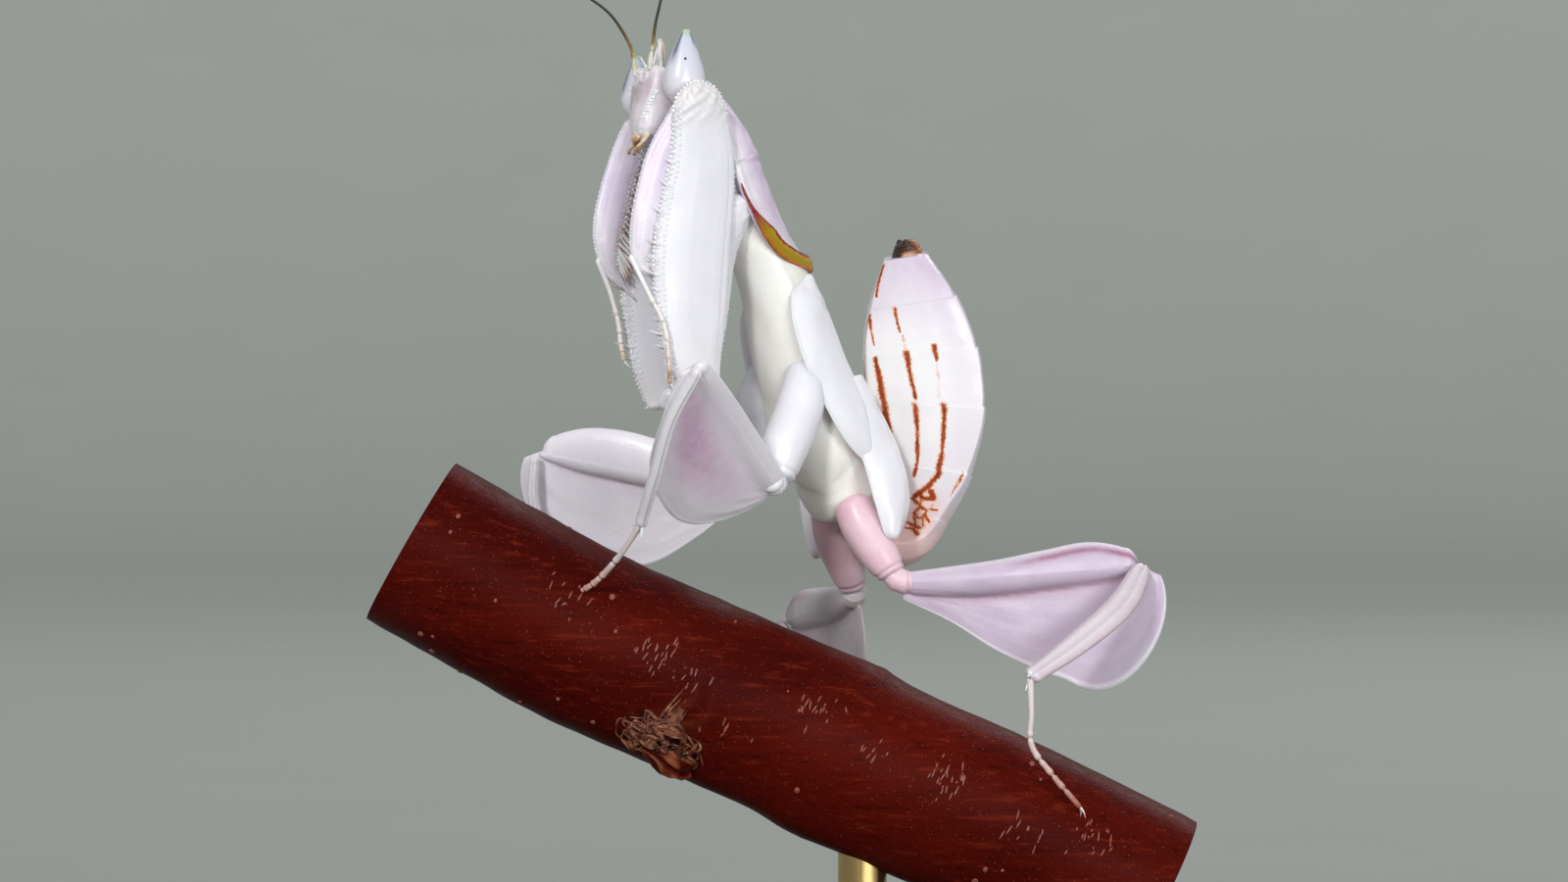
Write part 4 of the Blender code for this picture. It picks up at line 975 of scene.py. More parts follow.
def shield_point(s, angle, sink=0.0):
    """Points on the shield at shares s and angles from the ridge, sunk below its surface."""
    ridge, _, inward = shield_frame(np.atleast_1d(s))
    width = along(PRONOTUM_HALF_WIDTH, s)[:, None] - sink
    drop = np.maximum(along(PRONOTUM_DROP, s)[:, None] - sink, 0.05)
    return ridge + ACROSS * width * np.sin(angle) + inward * (sink + drop * (1 - np.cos(angle)))


def shield():
    s = np.linspace(0, 1, 170)
    outer = np.radians(np.linspace(-90, 90, 110))
    inner = np.radians(np.linspace(90, -90, 40))
    columns = [shield_point(s, angle) for angle in outer]
    columns += [shield_point(s, angle, SHIELD_THICKNESS) for angle in inner]
    grid = np.stack(columns, axis=1)
    s, a = np.meshgrid(s, np.concatenate([outer, 0 * inner]), indexing="ij")
    top = np.concatenate([np.ones(110), np.zeros(40)])[None, :]
    edge = np.abs(a) / (math.pi / 2)
    height = 0.05 * bump_at(a, 0, 0.10) + 0.09 * bump_at(s, 0.43, 0.05)
    height -= 0.07 * bump_at(s, SHIELD_GROOVE + 0.03 * np.cos(a), 0.02)
    height += 0.06 * bump_at(edge, 0.96, 0.035) - 0.03 * bump_at(edge, 0.88, 0.04)
    height += 0.02 * ripples(3 * s, a, 51, finest=4) + 0.06 * bump_at(s, 0.015, 0.02)
    height *= top
    grid = raised(grid, height)
    rim = within((edge - 0.66) / 0.3) + bump_at(s, 0.0, 0.05) + np.clip((s - 0.68) * 2.2, 0, 0.6)
    # The second mark is painted shade in the groove and the other pushed-in places.
    marks = {"tint": within(rim) * 0.8 * top, "scar_and_crease_shade": within(-height / 0.12)}
    return piece("shield", [(grid, marks)], LILAC, ["pronotum"])


def beads_along(points, radii, seed):
    """Small pearls set along a line of points, each a squat ball."""
    rng = np.random.default_rng(seed)
    grids = []
    for point, radius in zip(points, radii):
        r = radius * rng.uniform(0.8, 1.15)
        lie = unit(rng.normal(size=3)) * 0.25 + np.array([0, 0, 1.0])
        path = [point - lie * r, point, point + lie * r]
        grids.append(tube(path, [r, r, r], [r, r, r], (1, 0.2, 0), 9, 10, (0.5, 0.5)))
    return grids


def shield_beads():
    grids = []
    for side in (-1, 1):
        s = np.linspace(0.03, 0.60, 46)
        points = shield_point(s, side * math.pi / 2 * 0.985)
        grids += beads_along(points, np.interp(s, [0, 0.3, 0.6], [0.10, 0.12, 0.05]), 3)
    angles = np.linspace(-1.45, 1.45, 22)
    points = np.concatenate([shield_point(0.005, angle) for angle in angles])
    grids += beads_along(points, [0.10] * 22, 9)
    return piece("shield_beads", grids, PEARL)


shield()
shield_beads()

# %% [markdown]
# The coloured collar hugs the hind edge of the shield. It begins as a hair-thin wine-red line
# along the side and widens into an olive and orange ribbon at the back.
# A ribbon is a tube that is wide one way and thin the other, laid flat on the shield.

# %% Collar
def collar():
    shares = np.linspace(0.47, 0.985, 11)
    widen = np.interp(shares, [0.47, 0.56, 0.63, 0.72, 1.0], [0.035, 0.06, 0.16, 0.41, 0.45])
    left, normals = [], []
    for share, half in zip(shares, widen):
        drop = along(PRONOTUM_DROP, share)[0]
        angle = -math.pi / 2 + half * 0.8 / max(drop, 0.8)
        point, above = shield_point(share, angle), shield_point(share, angle, -0.3)
        normals.append(unit(above - point)[0])
        left.append(point[0] + normals[-1] * 0.05)
    ridge, ahead, inward = (v[0] for v in shield_frame(np.array([1.0])))
    middle = ridge + ahead * 0.25 + inward * 0.12
    path = left + [middle] + [p * (1, -1, 1) for p in left[::-1]]
    flat = normals + [unit(ahead - inward)] + [n * (1, -1, 1) for n in normals[::-1]]
    widths = list(widen) + [0.48] + list(widen[::-1])
    depths = list(np.interp(widen, [0.05, 0.5], [0.05, 0.15])) + [0.24]
    depths = depths + depths[-2::-1]

    def relief(s, a):
        return 0.015 * ripples(8 * s, a / 6.28, 61) + 0.04 * bump_at(np.cos(a), 0.75, 0.2)

    grid, marks = tube(path, widths, depths, flat, 220, 40, (0.03, 0.03), relief=relief)
    marks["tint"] = 0.5 + 0.5 * np.cos(angle_of(marks))
    marks["stripe"] = within((0.37 - np.abs(marks["along"] - 0.5)) * 12)
    return piece("collar", [(grid, marks)], COLLAR, ["pronotum_band"])


collar()

# %% [markdown]
# The head is a flat-faced wedge, held a little tilted. It is easiest to shape in its own frame,
# with the face forward, and to let a second matrix lean it and roll it. Its front carries a small
# raised shield above the lip, a faint groove across it, sockets for the feelers and a ridge
# beside each eye. All of these are hills and furrows placed by where a point lies on the face.

# %% Head
HEAD_CENTRE, HEAD_ROLL, FACE_LEAN = (-8.0, 0.0, 17.2), 13.0, 13.0
HEAD = (INSECT @ Matrix.Translation(HEAD_CENTRE) @ Matrix.Rotation(math.radians(-HEAD_ROLL), 4, "X")
        @ Matrix.Rotation(math.radians(FACE_LEAN), 4, "Y"))
HEAD_HEIGHTS = [-2.15, -1.7, -1.0, -0.2, 0.5, 1.0, 1.4, 1.7]
HEAD_WIDTHS = [0.66, 0.86, 1.03, 1.15, 1.28, 1.3, 1.15, 0.75]
HEAD_FRONTS = [0.35, 0.52, 0.62, 0.6, 0.55, 0.5, 0.42, 0.3]
HEAD_BACKS = [0.5, 0.95, 1.4, 1.75, 1.75, 1.6, 1.25, 0.7]


def head():
    s = np.linspace(0, 1, 150)
    a = np.linspace(0, 2 * math.pi, 180, endpoint=False)
    close = rounded_end(1 - s, 0.07)
    close *= rounded_end(s, 0.05)
    s, a = crossed(s, a)
    width, front, back = (along(values, s[:, 0])[:, None] * close[:, None]
                          for values in (HEAD_WIDTHS, HEAD_FRONTS, HEAD_BACKS))
    depth = np.where(np.cos(a) > 0, -front, back)
    z = along(HEAD_HEIGHTS, s[:, 0])[:, None] + 0 * a
    grid = np.stack([np.abs(np.cos(a)) ** 0.75 * depth, width * np.sin(a), z], axis=-1)
    across, facing = grid[..., 1], within(np.cos(a) * 3)
    y = np.abs(across)
    shield = 1 / (1 + np.exp(-(0.62 + 0.25 * z - y) / 0.09)) / (1 + np.exp(-(0.3 - z - 0.4 * y) / 0.09))
    height = 0.035 * shield - 0.01 * bump_at(z + 0.2 * y, -0.95, 0.09) * facing
    height += 0.03 * bump_at(y - 0.35 * (z - 0.2), 1.1, 0.14) * facing
    for side in (-1, 1):
        socket = np.hypot(across - side * 0.42, z - 0.95)
        height += facing * (0.09 * bump_at(socket, 0.25, 0.08) - 0.05 * bump_at(socket, 0, 0.12))
    eyelet = bump_at(np.hypot(across - 0.42, z - 1.55), 0, 0.20)
    middle = bump_at(np.hypot((across + 0.05 - 0.3 * (z - 1.3)) / 0.13, (z - 1.32) / 0.26), 0, 1.0)
    height += facing * (0.16 * eyelet + 0.12 * middle)
    height += 0.015 * ripples(3 * s, a / 3.1, 71, finest=4)
    spot = bump_at(np.hypot(across - 0.46, z - 1.6), 0, 0.07)
    brow = 0.7 * bump_at(z, 0.25, 0.8) * within(np.cos(a) * 2 + 1.2) * np.clip(2.4 - 1.4 * y, 0.4, 1)
    # The last mark is painted shade in the grooves and sockets of the face.
    marks = {"tint": within(1.15 * brow * (1 - eyelet) * (1 - middle) + 0.5 * spot),
             "blush": within(middle + eyelet * (1 - spot)) * facing,
             "scar_and_crease_shade": within(-height / 0.09)}
    grid = raised(grid, height)
    cheek = []
    for row in range(2):
        for t in np.linspace(0, 1, 9):
            turn = math.radians(-88 + 34 * t + 10 * row)
            cheek.append(grid[np.argmin(np.abs(z[:, 0] - 0.1 + 1.35 * t)),
                              np.argmin(np.abs(a[0] - turn % (2 * math.pi)))])
    piece("cheek_beads", beads_along(cheek, [0.07] * len(cheek), 4), PEARL, [], HEAD)
    return piece("head_capsule", [(grid, marks)], FACE, ["head"], HEAD)


head()

# %% [markdown]
# The eyes rise from the sides of the head as two tall cones. Each is a smooth tube whose widths
# follow a bell that is drawn out to a blunt point. The two dark-blue lines and the black dot are
# marks placed by angle and height. The angle is counted so that 90 degrees is the outer side of
# either eye, 0 its back and 180 its front. The two eyes are leaned and lined a little differently,
# to suit a view from the front and left.

# %% Eyes
EYE_LENGTH, EYE_RADIUS, EYE_SPLAY, EYE_TILT = 3.9, 1.08, 18.0, 0.22
EYE_PROFILE = [(0.0, 0.35), (0.08, 0.65), (0.2, 0.93), (0.34, 1.0), (0.5, 0.88), (0.66, 0.67), (0.82, 0.44),
               (0.93, 0.26), (1.0, 0.12)]


def eye(word, side):
    splay = math.radians(EYE_SPLAY if side < 0 else 12.4)
    base = np.array([1.3, -1.6, -0.5]) if side < 0 else np.array([0.8, 1.7, -0.57])
    out = unit(np.array([-EYE_TILT if side < 0 else -0.07, side * math.sin(splay), math.cos(splay)]))
    sideways = unit(np.cross(out, np.array([1.0, 0.0, 0.0])))
    back = np.cross(sideways, out)
    s = np.linspace(0, 1, 160)
    a = np.linspace(0, 2 * math.pi, 180, endpoint=False)
    size = np.interp(s, *zip(*EYE_PROFILE))
    size = np.convolve(np.pad(size, 9, mode="edge"), np.ones(19) / 19, "valid")
    size *= rounded_end(1 - s, 0.025)
    s, a = crossed(s, a)
    size = size[:, None, None]
    grid = base + out * EYE_LENGTH * s[..., None]
    grid = grid + EYE_RADIUS * size * (1.05 * np.cos(a)[..., None] * back
                                       + 0.85 * np.sin(a)[..., None] * sideways)
    grid = raised(grid, 0.008 * np.sin(40 * s) * bump_at(s, 0.12, 0.05))
    degrees = np.degrees(np.angle(np.exp(1j * a))) * side
    front = (162, 0.52) if side < 0 else (182, 0.30)
    turned = (degrees - front[0] + 180) % 360 - 180
    lines = 0.95 * bump_at(turned, 0, 15) * within((s - front[1]) * 5)
    lines = lines + 0.95 * bump_at(degrees, 50, 13) * within((s - 0.74) * 8)
    dot = np.hypot(np.radians(degrees - 110) * 0.72, (s - 0.62) * EYE_LENGTH)
    marks = {"along": s, "tint": lines * within((0.965 - s) * 60), "stripe": within((0.075 - dot) * 50)}
    return piece(f"eye_cone_{word}", [(grid, marks)], EYE, [f"eye_{word}"], HEAD)


eye("left", -1)
eye("right", 1)

# %% [markdown]
# Between the eyes stands the crown, a thin upright leaf with pale sides and a golden core, and
# in front of it a few small white spikes. A spike is a thin cone. Since many parts of the animal carry
# spines and beads, one helper makes a spine from its root, its direction and its length.

# %% Spines and crown
def spine(root, way, length, radius, bend=(0.0, 0.0, 0.0), sides=8):
    """A slim cone that may bend; its mark called along runs from root to tip."""
    root, way, bend = np.array(root, float), unit(np.array(way, float)), np.array(bend, float)
    path = [root - way * length * 0.12, root + way * length * 0.4 + bend * 0.25, root + way * length + bend]
    flat = np.cross(way, [0.31, 0.17, 0.93])
    return tube(path, [radius, radius * 0.62, radius * 0.16], [radius, radius * 0.62, radius * 0.16], flat,
                10, sides, (0.0, 0.08))


def crown():
    path = [(0.62, 0.0, 1.2), (0.60, 0.0, 2.0), (0.56, 0.0, 2.7), (0.48, 0.0, 3.2), (0.30, 0.0, 3.42)]

    def keel(s, a):
        return 0.03 * bump_at(np.cos(a), 0, 0.25) - 0.02 * bump_at(np.abs(np.cos(a)), 0.55, 0.2)

    grid, marks = tube(path, [0.36, 0.27, 0.22, 0.16, 0.07], [0.2, 0.14, 0.11, 0.09, 0.05], (0, 1, 0), 90, 60,
                       (0, 0.05), relief=keel)
    core = bump_at(np.cos(angle_of(marks)), 0, 0.28)
    marks["tint"] = within(core + within((marks["along"] - 0.9) * 12)) * 0.9
    piece("crown_process", [(grid, marks)], CROWN, ["crown"], HEAD)
    spikes = []
    for x, y, z, length in ((0.30, -0.10, 1.5, 1.0), (0.45, -0.34, 1.5, 0.8), (0.12, -0.25, 1.4, 0.7),
                            (0.35, 0.30, 1.5, 0.9),
                            (0.15, 0.12, 1.45, 0.8), (0.2, -0.38, 1.45, 0.6), (0.5, 0.05, 1.6, 1.2)):
        spikes.append(spine((x, y, z), (-0.15, y * 0.6, 1), length * 1.15, 0.15, (0.04, 0.0, 0.06)))
    for z in (1.0, 1.14, 1.27, 1.4):
        spikes.append(spine((-0.32 + 0.1 * (z - 1), -0.47, z), (-1, -0.35, 0.3), 0.16, 0.07))
    piece("head_spikes", spikes, PEARL, [], HEAD)


crown()

# %% [markdown]
# A feeler is a chain. A stout first joint sits in the socket, a bead-like second one follows, and
# then some forty short rings carry it out to its fine tip. The rings are one tube whose radius
# swells a little toward each joint, so that every ring catches its own glint of light.

# %% Feelers
ANTENNA = {
    "left": [(-8.1, -0.45, 18.7), (-8.05, -0.75, 20.0), (-8.0, -0.95, 21.0), (-7.75, -1.05, 22.2),
             (-7.3, -1.2, 24.6), (-6.4, -1.5, 27.2), (-5.0, -1.9, 29.4)],
    "right": [(-8.1, 0.95, 18.4), (-8.2, 1.15, 19.7), (-8.75, 1.3, 20.8), (-9.4, 1.6, 21.7),
              (-10.4, 2.1, 22.5), (-12.4, 3.2, 23.9), (-14.6, 4.6, 25.6)],
}


def feeler(word, path):
    def rings(s, a):
        beat = (s * 46) % 1.0
        swell = (0.012 * beat ** 2 * (s > 0.16) + 0.05 * bump_at(s, 0.05, 0.04)
                 + 0.03 * bump_at(s, 0.135, 0.018))
        return swell - 0.03 * bump_at(s, 0.113, 0.008) - 0.02 * bump_at(s, 0.16, 0.006)

    radii = [0.11, 0.085, 0.072, 0.066, 0.058, 0.048, 0.028]
    grid = tube(path, radii, radii, (1, 0, 0), 420, 18, (0.01, 0.012), relief=rings)
    return piece(f"feeler_{word}", [grid], FEELER_SKIN, [f"antenna_{word}"])


for word, path in ANTENNA.items():
    feeler(word, path)

# %% [markdown]
# The mouth is a bundle of small tools: a lip in front, two toothed jaws behind it, and four
# jointed palps that hang down and taste. Each is about a millimetre of tube, and a palp's joints
# are swellings along it. They are gathered into one mesh, as they share one finish.

# %% Mouthparts
def palp(points, radius):
    count = len(points) - 1

    def joints(s, a):
        return 0.035 * np.abs(np.sin(math.pi * count * s)) - 0.03

    radii = [radius, radius * 1.05, radius, radius * 0.9, radius * 0.6][:len(points)]
    return tube(points, radii, radii, (1, 0, 0), 60, 14, (0.03, 0.06), relief=joints)


def mouth():
    def lip_relief(s, a):
        return 0.04 * bump_at(np.cos(a), 0, 0.2) - 0.04 * bump_at(s, 0.45, 0.05)

    grids = [tube([(-0.2, 0.05, -1.75), (-0.32, 0.08, -2.1), (-0.3, 0.1, -2.45)], [0.45, 0.4, 0.25],
                  [0.24, 0.2, 0.12],
                  (1, 0, 0), 40, 32, (0.02, 0.2), relief=lip_relief)]
    for side in (-1, 1):
        grids.append(tube([(0.0, side * 0.5, -1.7), (-0.12, side * 0.46, -2.15), (-0.2, side * 0.14, -2.6)],
                          [0.28, 0.24, 0.08], [0.22, 0.18, 0.07], (1, 0, 0), 36, 20, (0.02, 0.1)))
        grids.append(palp([(0.1, side * 0.55, -1.8), (-0.1, side * 0.74, -2.2), (-0.35, side * 0.6, -2.6),
                           (-0.5, side * 0.42, -2.85), (-0.5, side * 0.25, -2.98)], 0.10))
        grids.append(palp([(0.1, side * 0.25, -1.9), (-0.05, side * 0.35, -2.4), (-0.2, side * 0.3, -2.8),
                           (-0.3, side * 0.2, -3.0)], 0.085))
    return piece("mouth_tools", grids, MOUTH, ["mouthparts"], HEAD)


mouth()

# %% [markdown]
# The abdomen is carried tipped forward over the back, so its flat upper side faces the viewer's
# right and its edge faces the chest. It is seven rings, each pulled a little over the next like a
# row of stacked cups, and each ends at the sides in a small lobe. One function gives the outline
# at any share of the way, and the rings are cut from it with a little overlap.

# %% Abdomen
ABDOMEN_EDGE = [(4.3, -4.0), (5.6, -5.2), (6.9, -4.9), (7.55, -3.4), (8.1, -1.5), (8.45, 1.2), (8.45, 3.6),
                (8.15, 5.8), (7.7, 7.8), (7.25, 9.6)]
ABDOMEN_HALF_WIDTH = [1.5, 1.75, 2.4, 3.5, 4.7, 5.5, 5.3, 4.7, 3.5, 1.6]
ABDOMEN_RIDGE_RISE = [1.1, 1.0, 1.1, 1.7, 2.6, 3.3, 3.5, 3.3, 2.5, 1.3]
ABDOMEN_BELLY_DROP = [1.0, 1.2, 1.5, 1.5, 1.4, 1.3, 1.2, 1.1, 0.9, 0.7]
ABDOMEN_SEGMENTS, LOBE_FLARE = 7, 0.14
OUTLINE = np.array([(-1.0, 0.0), (-0.72, 0.40), (-0.36, 0.75), (0.0, 1.0), (0.36, 0.75), (0.72, 0.40),
                    (1.0, 0.0),
                    (0.8, -0.62), (0.4, -0.95), (0.0, -1.0), (-0.4, -0.95), (-0.8, -0.62)])
ROUND = 320


def round_outline():
    """The outline of one ring as many points on a closed smooth curve, with a soft keel and sides."""
    twice = np.concatenate([OUTLINE, OUTLINE, OUTLINE])
    share = (len(OUTLINE) + np.arange(ROUND) / ROUND * len(OUTLINE)) / (len(twice) - 1)
    curve = along(twice, share)
    straight = np.stack([np.interp(share * (len(twice) - 1), np.arange(len(twice)), twice[:, k])
                         for k in (0, 1)], axis=1)
    return 0.5 * curve + 0.5 * straight


def abdomen_rings(s, flare):
    edge = np.array(in_plane(along(ABDOMEN_EDGE, s)))
    dorsal = unit(np.cross(heading(in_plane(ABDOMEN_EDGE), s, 0.01), ACROSS))
    width = along(ABDOMEN_HALF_WIDTH, s) + flare
    rise, drop = along(ABDOMEN_RIDGE_RISE, s), along(ABDOMEN_BELLY_DROP, s)
    outline = round_outline()
    part, level = outline[None, :, 0], outline[None, :, 1]
    height = np.where(level > 0, rise[:, None], drop[:, None]) * level
    return edge[:, None] + ACROSS * (width[:, None] * part)[..., None] + dorsal[:, None] * height[..., None]


ABDOMEN_LENGTH = 17.5
STRIPES = [
    ([(0.985, -0.01), (0.94, -0.02), (0.90, -0.05)], 0.15, 0.10, 0.9),
    ([(0.85, 0.0), (0.80, -0.06), (0.76, -0.10)], 0.16, 0.08, 0.8),
    ([(0.72, -0.11), (0.65, -0.14), (0.59, -0.16), (0.55, -0.17)], 0.22, 0.34, 1.0),
    ([(0.55, -0.17), (0.51, -0.20), (0.47, -0.24)], 0.32, 0.10, 1.0),
    ([(0.46, -0.28), (0.43, -0.34)], 0.12, 0.06, 0.5),
    ([(0.86, -0.34), (0.79, -0.39)], 0.15, 0.07, 0.8),
    ([(0.78, -0.41), (0.74, -0.43)], 0.15, 0.15, 0.2),
    ([(0.73, -0.43), (0.66, -0.44), (0.60, -0.47)], 0.24, 0.14, 1.0),
    ([(0.58, -0.46), (0.51, -0.48), (0.45, -0.50), (0.41, -0.47)], 0.22, 0.12, 1.0),
    ([(0.74, -0.70), (0.70, -0.69)], 0.20, 0.09, 0.9),
    ([(0.69, -0.69), (0.60, -0.68)], 0.12, 0.12, 0.2),
    ([(0.58, -0.71), (0.53, -0.72), (0.47, -0.74)], 0.22, 0.14, 1.0),
    ([(0.47, -0.74), (0.42, -0.74), (0.38, -0.66), (0.35, -0.54)], 0.22, 0.26, 1.0),
    ([(0.36, -0.56), (0.345, -0.66), (0.35, -0.80), (0.37, -0.72)], 0.20, 0.24, 1.0),
    ([(0.34, -0.50), (0.33, -0.60), (0.315, -0.73), (0.32, -0.92)], 0.16, 0.10, 0.85),
    ([(0.30, -0.58), (0.285, -0.68), (0.295, -0.80), (0.28, -0.90)], 0.15, 0.10, 0.8),
    ([(0.36, -0.60), (0.32, -0.66), (0.30, -0.58), (0.26, -0.68)], 0.14, 0.18, 0.7),
    ([(0.33, -0.82), (0.29, -0.74), (0.26, -0.84)], 0.12, 0.16, 0.6),
    ([(0.22, -0.58), (0.235, -0.70), (0.215, -0.84)], 0.26, 0.30, 0.8),
    ([(0.26, -0.52), (0.25, -0.66), (0.25, -0.80)], 0.22, 0.24, 0.85),
    ([(0.44, -0.97), (0.40, -0.965), (0.37, -0.97)], 0.07, 0.05, 0.6),
]


def stripe_field(s, across, half_width):
    """How strong the rust is at each point. Each row holds a line of (share along, place across), its
    breadth in millimetres at the start and at the end, and how strong it is."""
    field = 0 * s
    wander = 0.03 * ripples(s * 3, across, 97)
    for line, first, last, strength in STRIPES:
        for k, ((s0, a0), (s1, a1)) in enumerate(zip(line, line[1:])):
            x, y = (s - s0) * ABDOMEN_LENGTH, (across - a0) * half_width
            to_x, to_y = (s1 - s0) * ABDOMEN_LENGTH, (a1 - a0) * half_width
            t = within((x * to_x + y * to_y) / (to_x ** 2 + to_y ** 2))
            breadth = first + (last - first) * (k + t) / (len(line) - 1)
            near = np.hypot(x - t * to_x, y - t * to_y) + wander
            field = np.maximum(field, strength * np.exp(-(near / (0.6 * breadth)) ** 2))
    return field


def abdomen():
    for index in range(ABDOMEN_SEGMENTS):
        start, end = index / ABDOMEN_SEGMENTS, (index + 1) / ABDOMEN_SEGMENTS
        grown = min(index, 2) / 2
        t = np.linspace(0, 1, 44)
        s = start - 0.03 * (index > 0) + (end - start + 0.03 * (index > 0) + 0.008) * t
        flare = LOBE_FLARE * grown * within(t) ** 1.6
        grid = abdomen_rings(within(s), flare)
        half_width = (along(ABDOMEN_HALF_WIDTH, s) + flare)[:, None]
        s, t = s[:, None] + np.zeros((1, ROUND)), t[:, None] + np.zeros((1, ROUND))
        part = round_outline()[None, :, 0] + 0 * s
        upper = round_outline()[None, :, 1] + 0 * s
        height = -0.010 * (1 - t) + 0.010 * t ** 3 - 0.012 * bump_at(t, 1.02, 0.02)
        height += (0.02 * bump_at(np.abs(part), 0.0, 0.04) * (upper > 0)
                   + 0.008 * ripples(3 * s, part, 80 + index))
        height += 0.006 * np.sin(2 * math.pi * 5 * t + 3 * part) * within(0.9 - t)
        # The last mark paints shade along the end of each ring, where it slips under the next.
        marks = {"stripe": stripe_field(s, -np.abs(part), half_width) * (upper > 0.02),
                 "tint": within(np.clip((s - 0.72) * 3, 0, 0.8) + 0.35 * bump_at(np.abs(part), 1, 0.22)),
                 "blush": within(0.9 * within((0.38 - s) * 4)
                                  + 0.5 * bump_at(s, 0.30, 0.07) * bump_at(np.abs(part), 0.7, 0.2)),
                 "scar_and_crease_shade": 0.12 * bump_at(t, 1.0, 0.02)}
        piece(f"abdomen_ring_{index + 1}", [(raised(grid, height), marks)], ABDOMEN_SKIN,
              [f"abdomen_{index + 1}"])


abdomen()

# %% [markdown]
# At its end the abdomen is drawn in to a small dark cap with two short feelers, the cerci. The cap
# is black on its outer side, warm orange-brown towards the back and flesh-coloured low down in
# front. The mark called along, which the dark finish reads, is therefore set by direction here.
# The two directions suit a view from the front and left; the far side of the cap is a guess.

# %% End of the abdomen
TIP_BACK, TIP_FRONT = (0.866, -0.5, 0.0), (-0.5, -0.866, 0.0)


def abdomen_end():
    def folds(s, a):
        return 0.02 * ripples(5 * s, a / 2, 91) - 0.05 * bump_at(s, 0.42, 0.03) - 0.04 * bump_at(s, 0.7, 0.03)

    path = [(7.4, 0.0, 9.4), (7.3, 0.0, 9.95), (7.15, 0.0, 10.35)]
    grid, marks = tube(path, [1.05, 0.8, 0.5], [0.8, 0.65, 0.45], (1, 0, 0), 80, 90, (0.05, 0.25),
                       relief=folds)
    way = unit(grid - along(path, marks["along"][:, 0])[:, None])
    back_side, front_side = way @ np.array(TIP_BACK), way @ np.array(TIP_FRONT)
    low = within(1.3 - 2.2 * marks["along"])
    colour = 0.85 - 0.45 * within(back_side * 2 - 0.5)
    flesh = within(front_side * 2.2) * within(1.6 - 2.4 * np.abs(back_side)) * low
    marks["along"] = colour * (1 - flesh) + 0.08 * flesh
    grids = [(grid, marks)]
    for side in (-1, 1):
        cercus = [(7.25, side * 0.42, 9.7), (7.15, side * 0.42, 10.05), (7.02, side * 0.24, 10.36)]
        grids.append(tube(cercus, [0.2, 0.19, 0.1], [0.2, 0.19, 0.1], (1, 0, 0), 50, 20, (0.05, 0.1),
                          relief=lambda s, a: 0.025 * np.abs(np.sin(6 * math.pi * s))))
        grids[-1][1]["along"] = 0.65 + 0.3 * grids[-1][1]["along"]
    return piece("abdomen_end", grids, TIP_SHELL, ["abdomen_tip"])


abdomen_end()

# %% [markdown]
# A nymph cannot fly yet: its wings are four flat pads that lie back from the chest. Each is a
# leaf-shaped plate, thickest along the middle and smooth as wax, with its edge a little rolled.
# The plate is a thin ellipse in section that is bent to the curve of the body.

# %% Wing pads
PLATE = 0.55


def pad(name, stands_for, path, half_widths, way, bulge):
    s = np.linspace(0, 1, 120)
    a = np.linspace(0, 2 * math.pi, 96, endpoint=False)
    centre, ahead = along(path, s), heading(path, s, 0.01)
    way = np.array(way, float)
    across = unit(way - ahead * (ahead @ way)[:, None])
    face = unit(np.cross(across, ahead))
    close = rounded_end(1 - s, 0.05, 1e-3)
    half = along(half_widths, s) * close
    part = np.cos(a)[None, :] + 0 * s[:, None]
    thick = PLATE / 2 * (0.25 + 0.75 * (1 - np.abs(part) ** 3)) * np.sin(a)[None, :] * close[:, None]
    lift = bulge * (1 - part ** 2) + thick
    grid = (centre[:, None] + across[:, None] * (half[:, None] * part)[..., None]
            + face[:, None] * lift[..., None])
    s = s[:, None] + 0 * part
    height = 0.02 * ripples(2 * s, part / 2, 95, finest=3) + 0.03 * bump_at(np.abs(part), 0.975, 0.04)
    height -= 0.03 * bump_at(s, 0.16 + 0.05 * part, 0.03)
    # The second mark is painted shade in the cross groove and the other pushed-in places.
    marks = {"tint": 0.35 * within(1.2 * s - 0.7), "scar_and_crease_shade": within(-height / 0.1)}
    return piece(name, [(raised(grid, height), marks)], WHITE, [stands_for])


for side, word in ((-1, "left"), (1, "right")):
    fore = [(0.5, -1.35, 8.25), (0.3, -1.95, 7.3), (0.3, -2.38, 6.0), (0.95, -2.7, 3.9), (1.8, -2.95, 2.1),
            (2.75, -3.05, 0.5), (3.75, -3.1, -1.3)]
    pad(f"fore_pad_{word}", f"forewing_pad_{word}", mirrored(fore, side),
        [0.5, 1.1, 1.38, 1.45, 1.4, 1.25, 0.45],
        (0.96, -0.25 * side, 0.0), 0.15 * side)
    drop = 0.0 if side < 0 else 1.1
    hind = [(2.6, -2.2, 3.2), (3.2, -2.85, 1.0), (3.9, -3.3, -1.0), (4.25, -3.6, -3.0 - drop * 0.4),
            (4.15, -3.8, -5.0 - drop)]
    pad(f"hind_pad_{word}", f"hindwing_pad_{word}", mirrored(hind, side), [0.8, 1.15, 1.2, 1.1, 0.4],
        (1.0, -0.1 * side, 0.0), 0.1 * side)

# %% [markdown]
# The front legs are traps, folded against the chest. A long hip carries a broad flat thigh, a
# blade edged with spines, and the shin closes on it like a penknife. The spines sit in rows of
# alternating length along the facing edges. The margin of the thigh is strung with pearls, which
# run over the knee, where the horn thins out to a creamy cap. To string them we take the edge of
# the finished surface itself and set a bead every quarter of a millimetre. The dark bristles and
# most rows of beads lie on the same side of both legs, the insect's left, so this pair isn't
# mirrored.

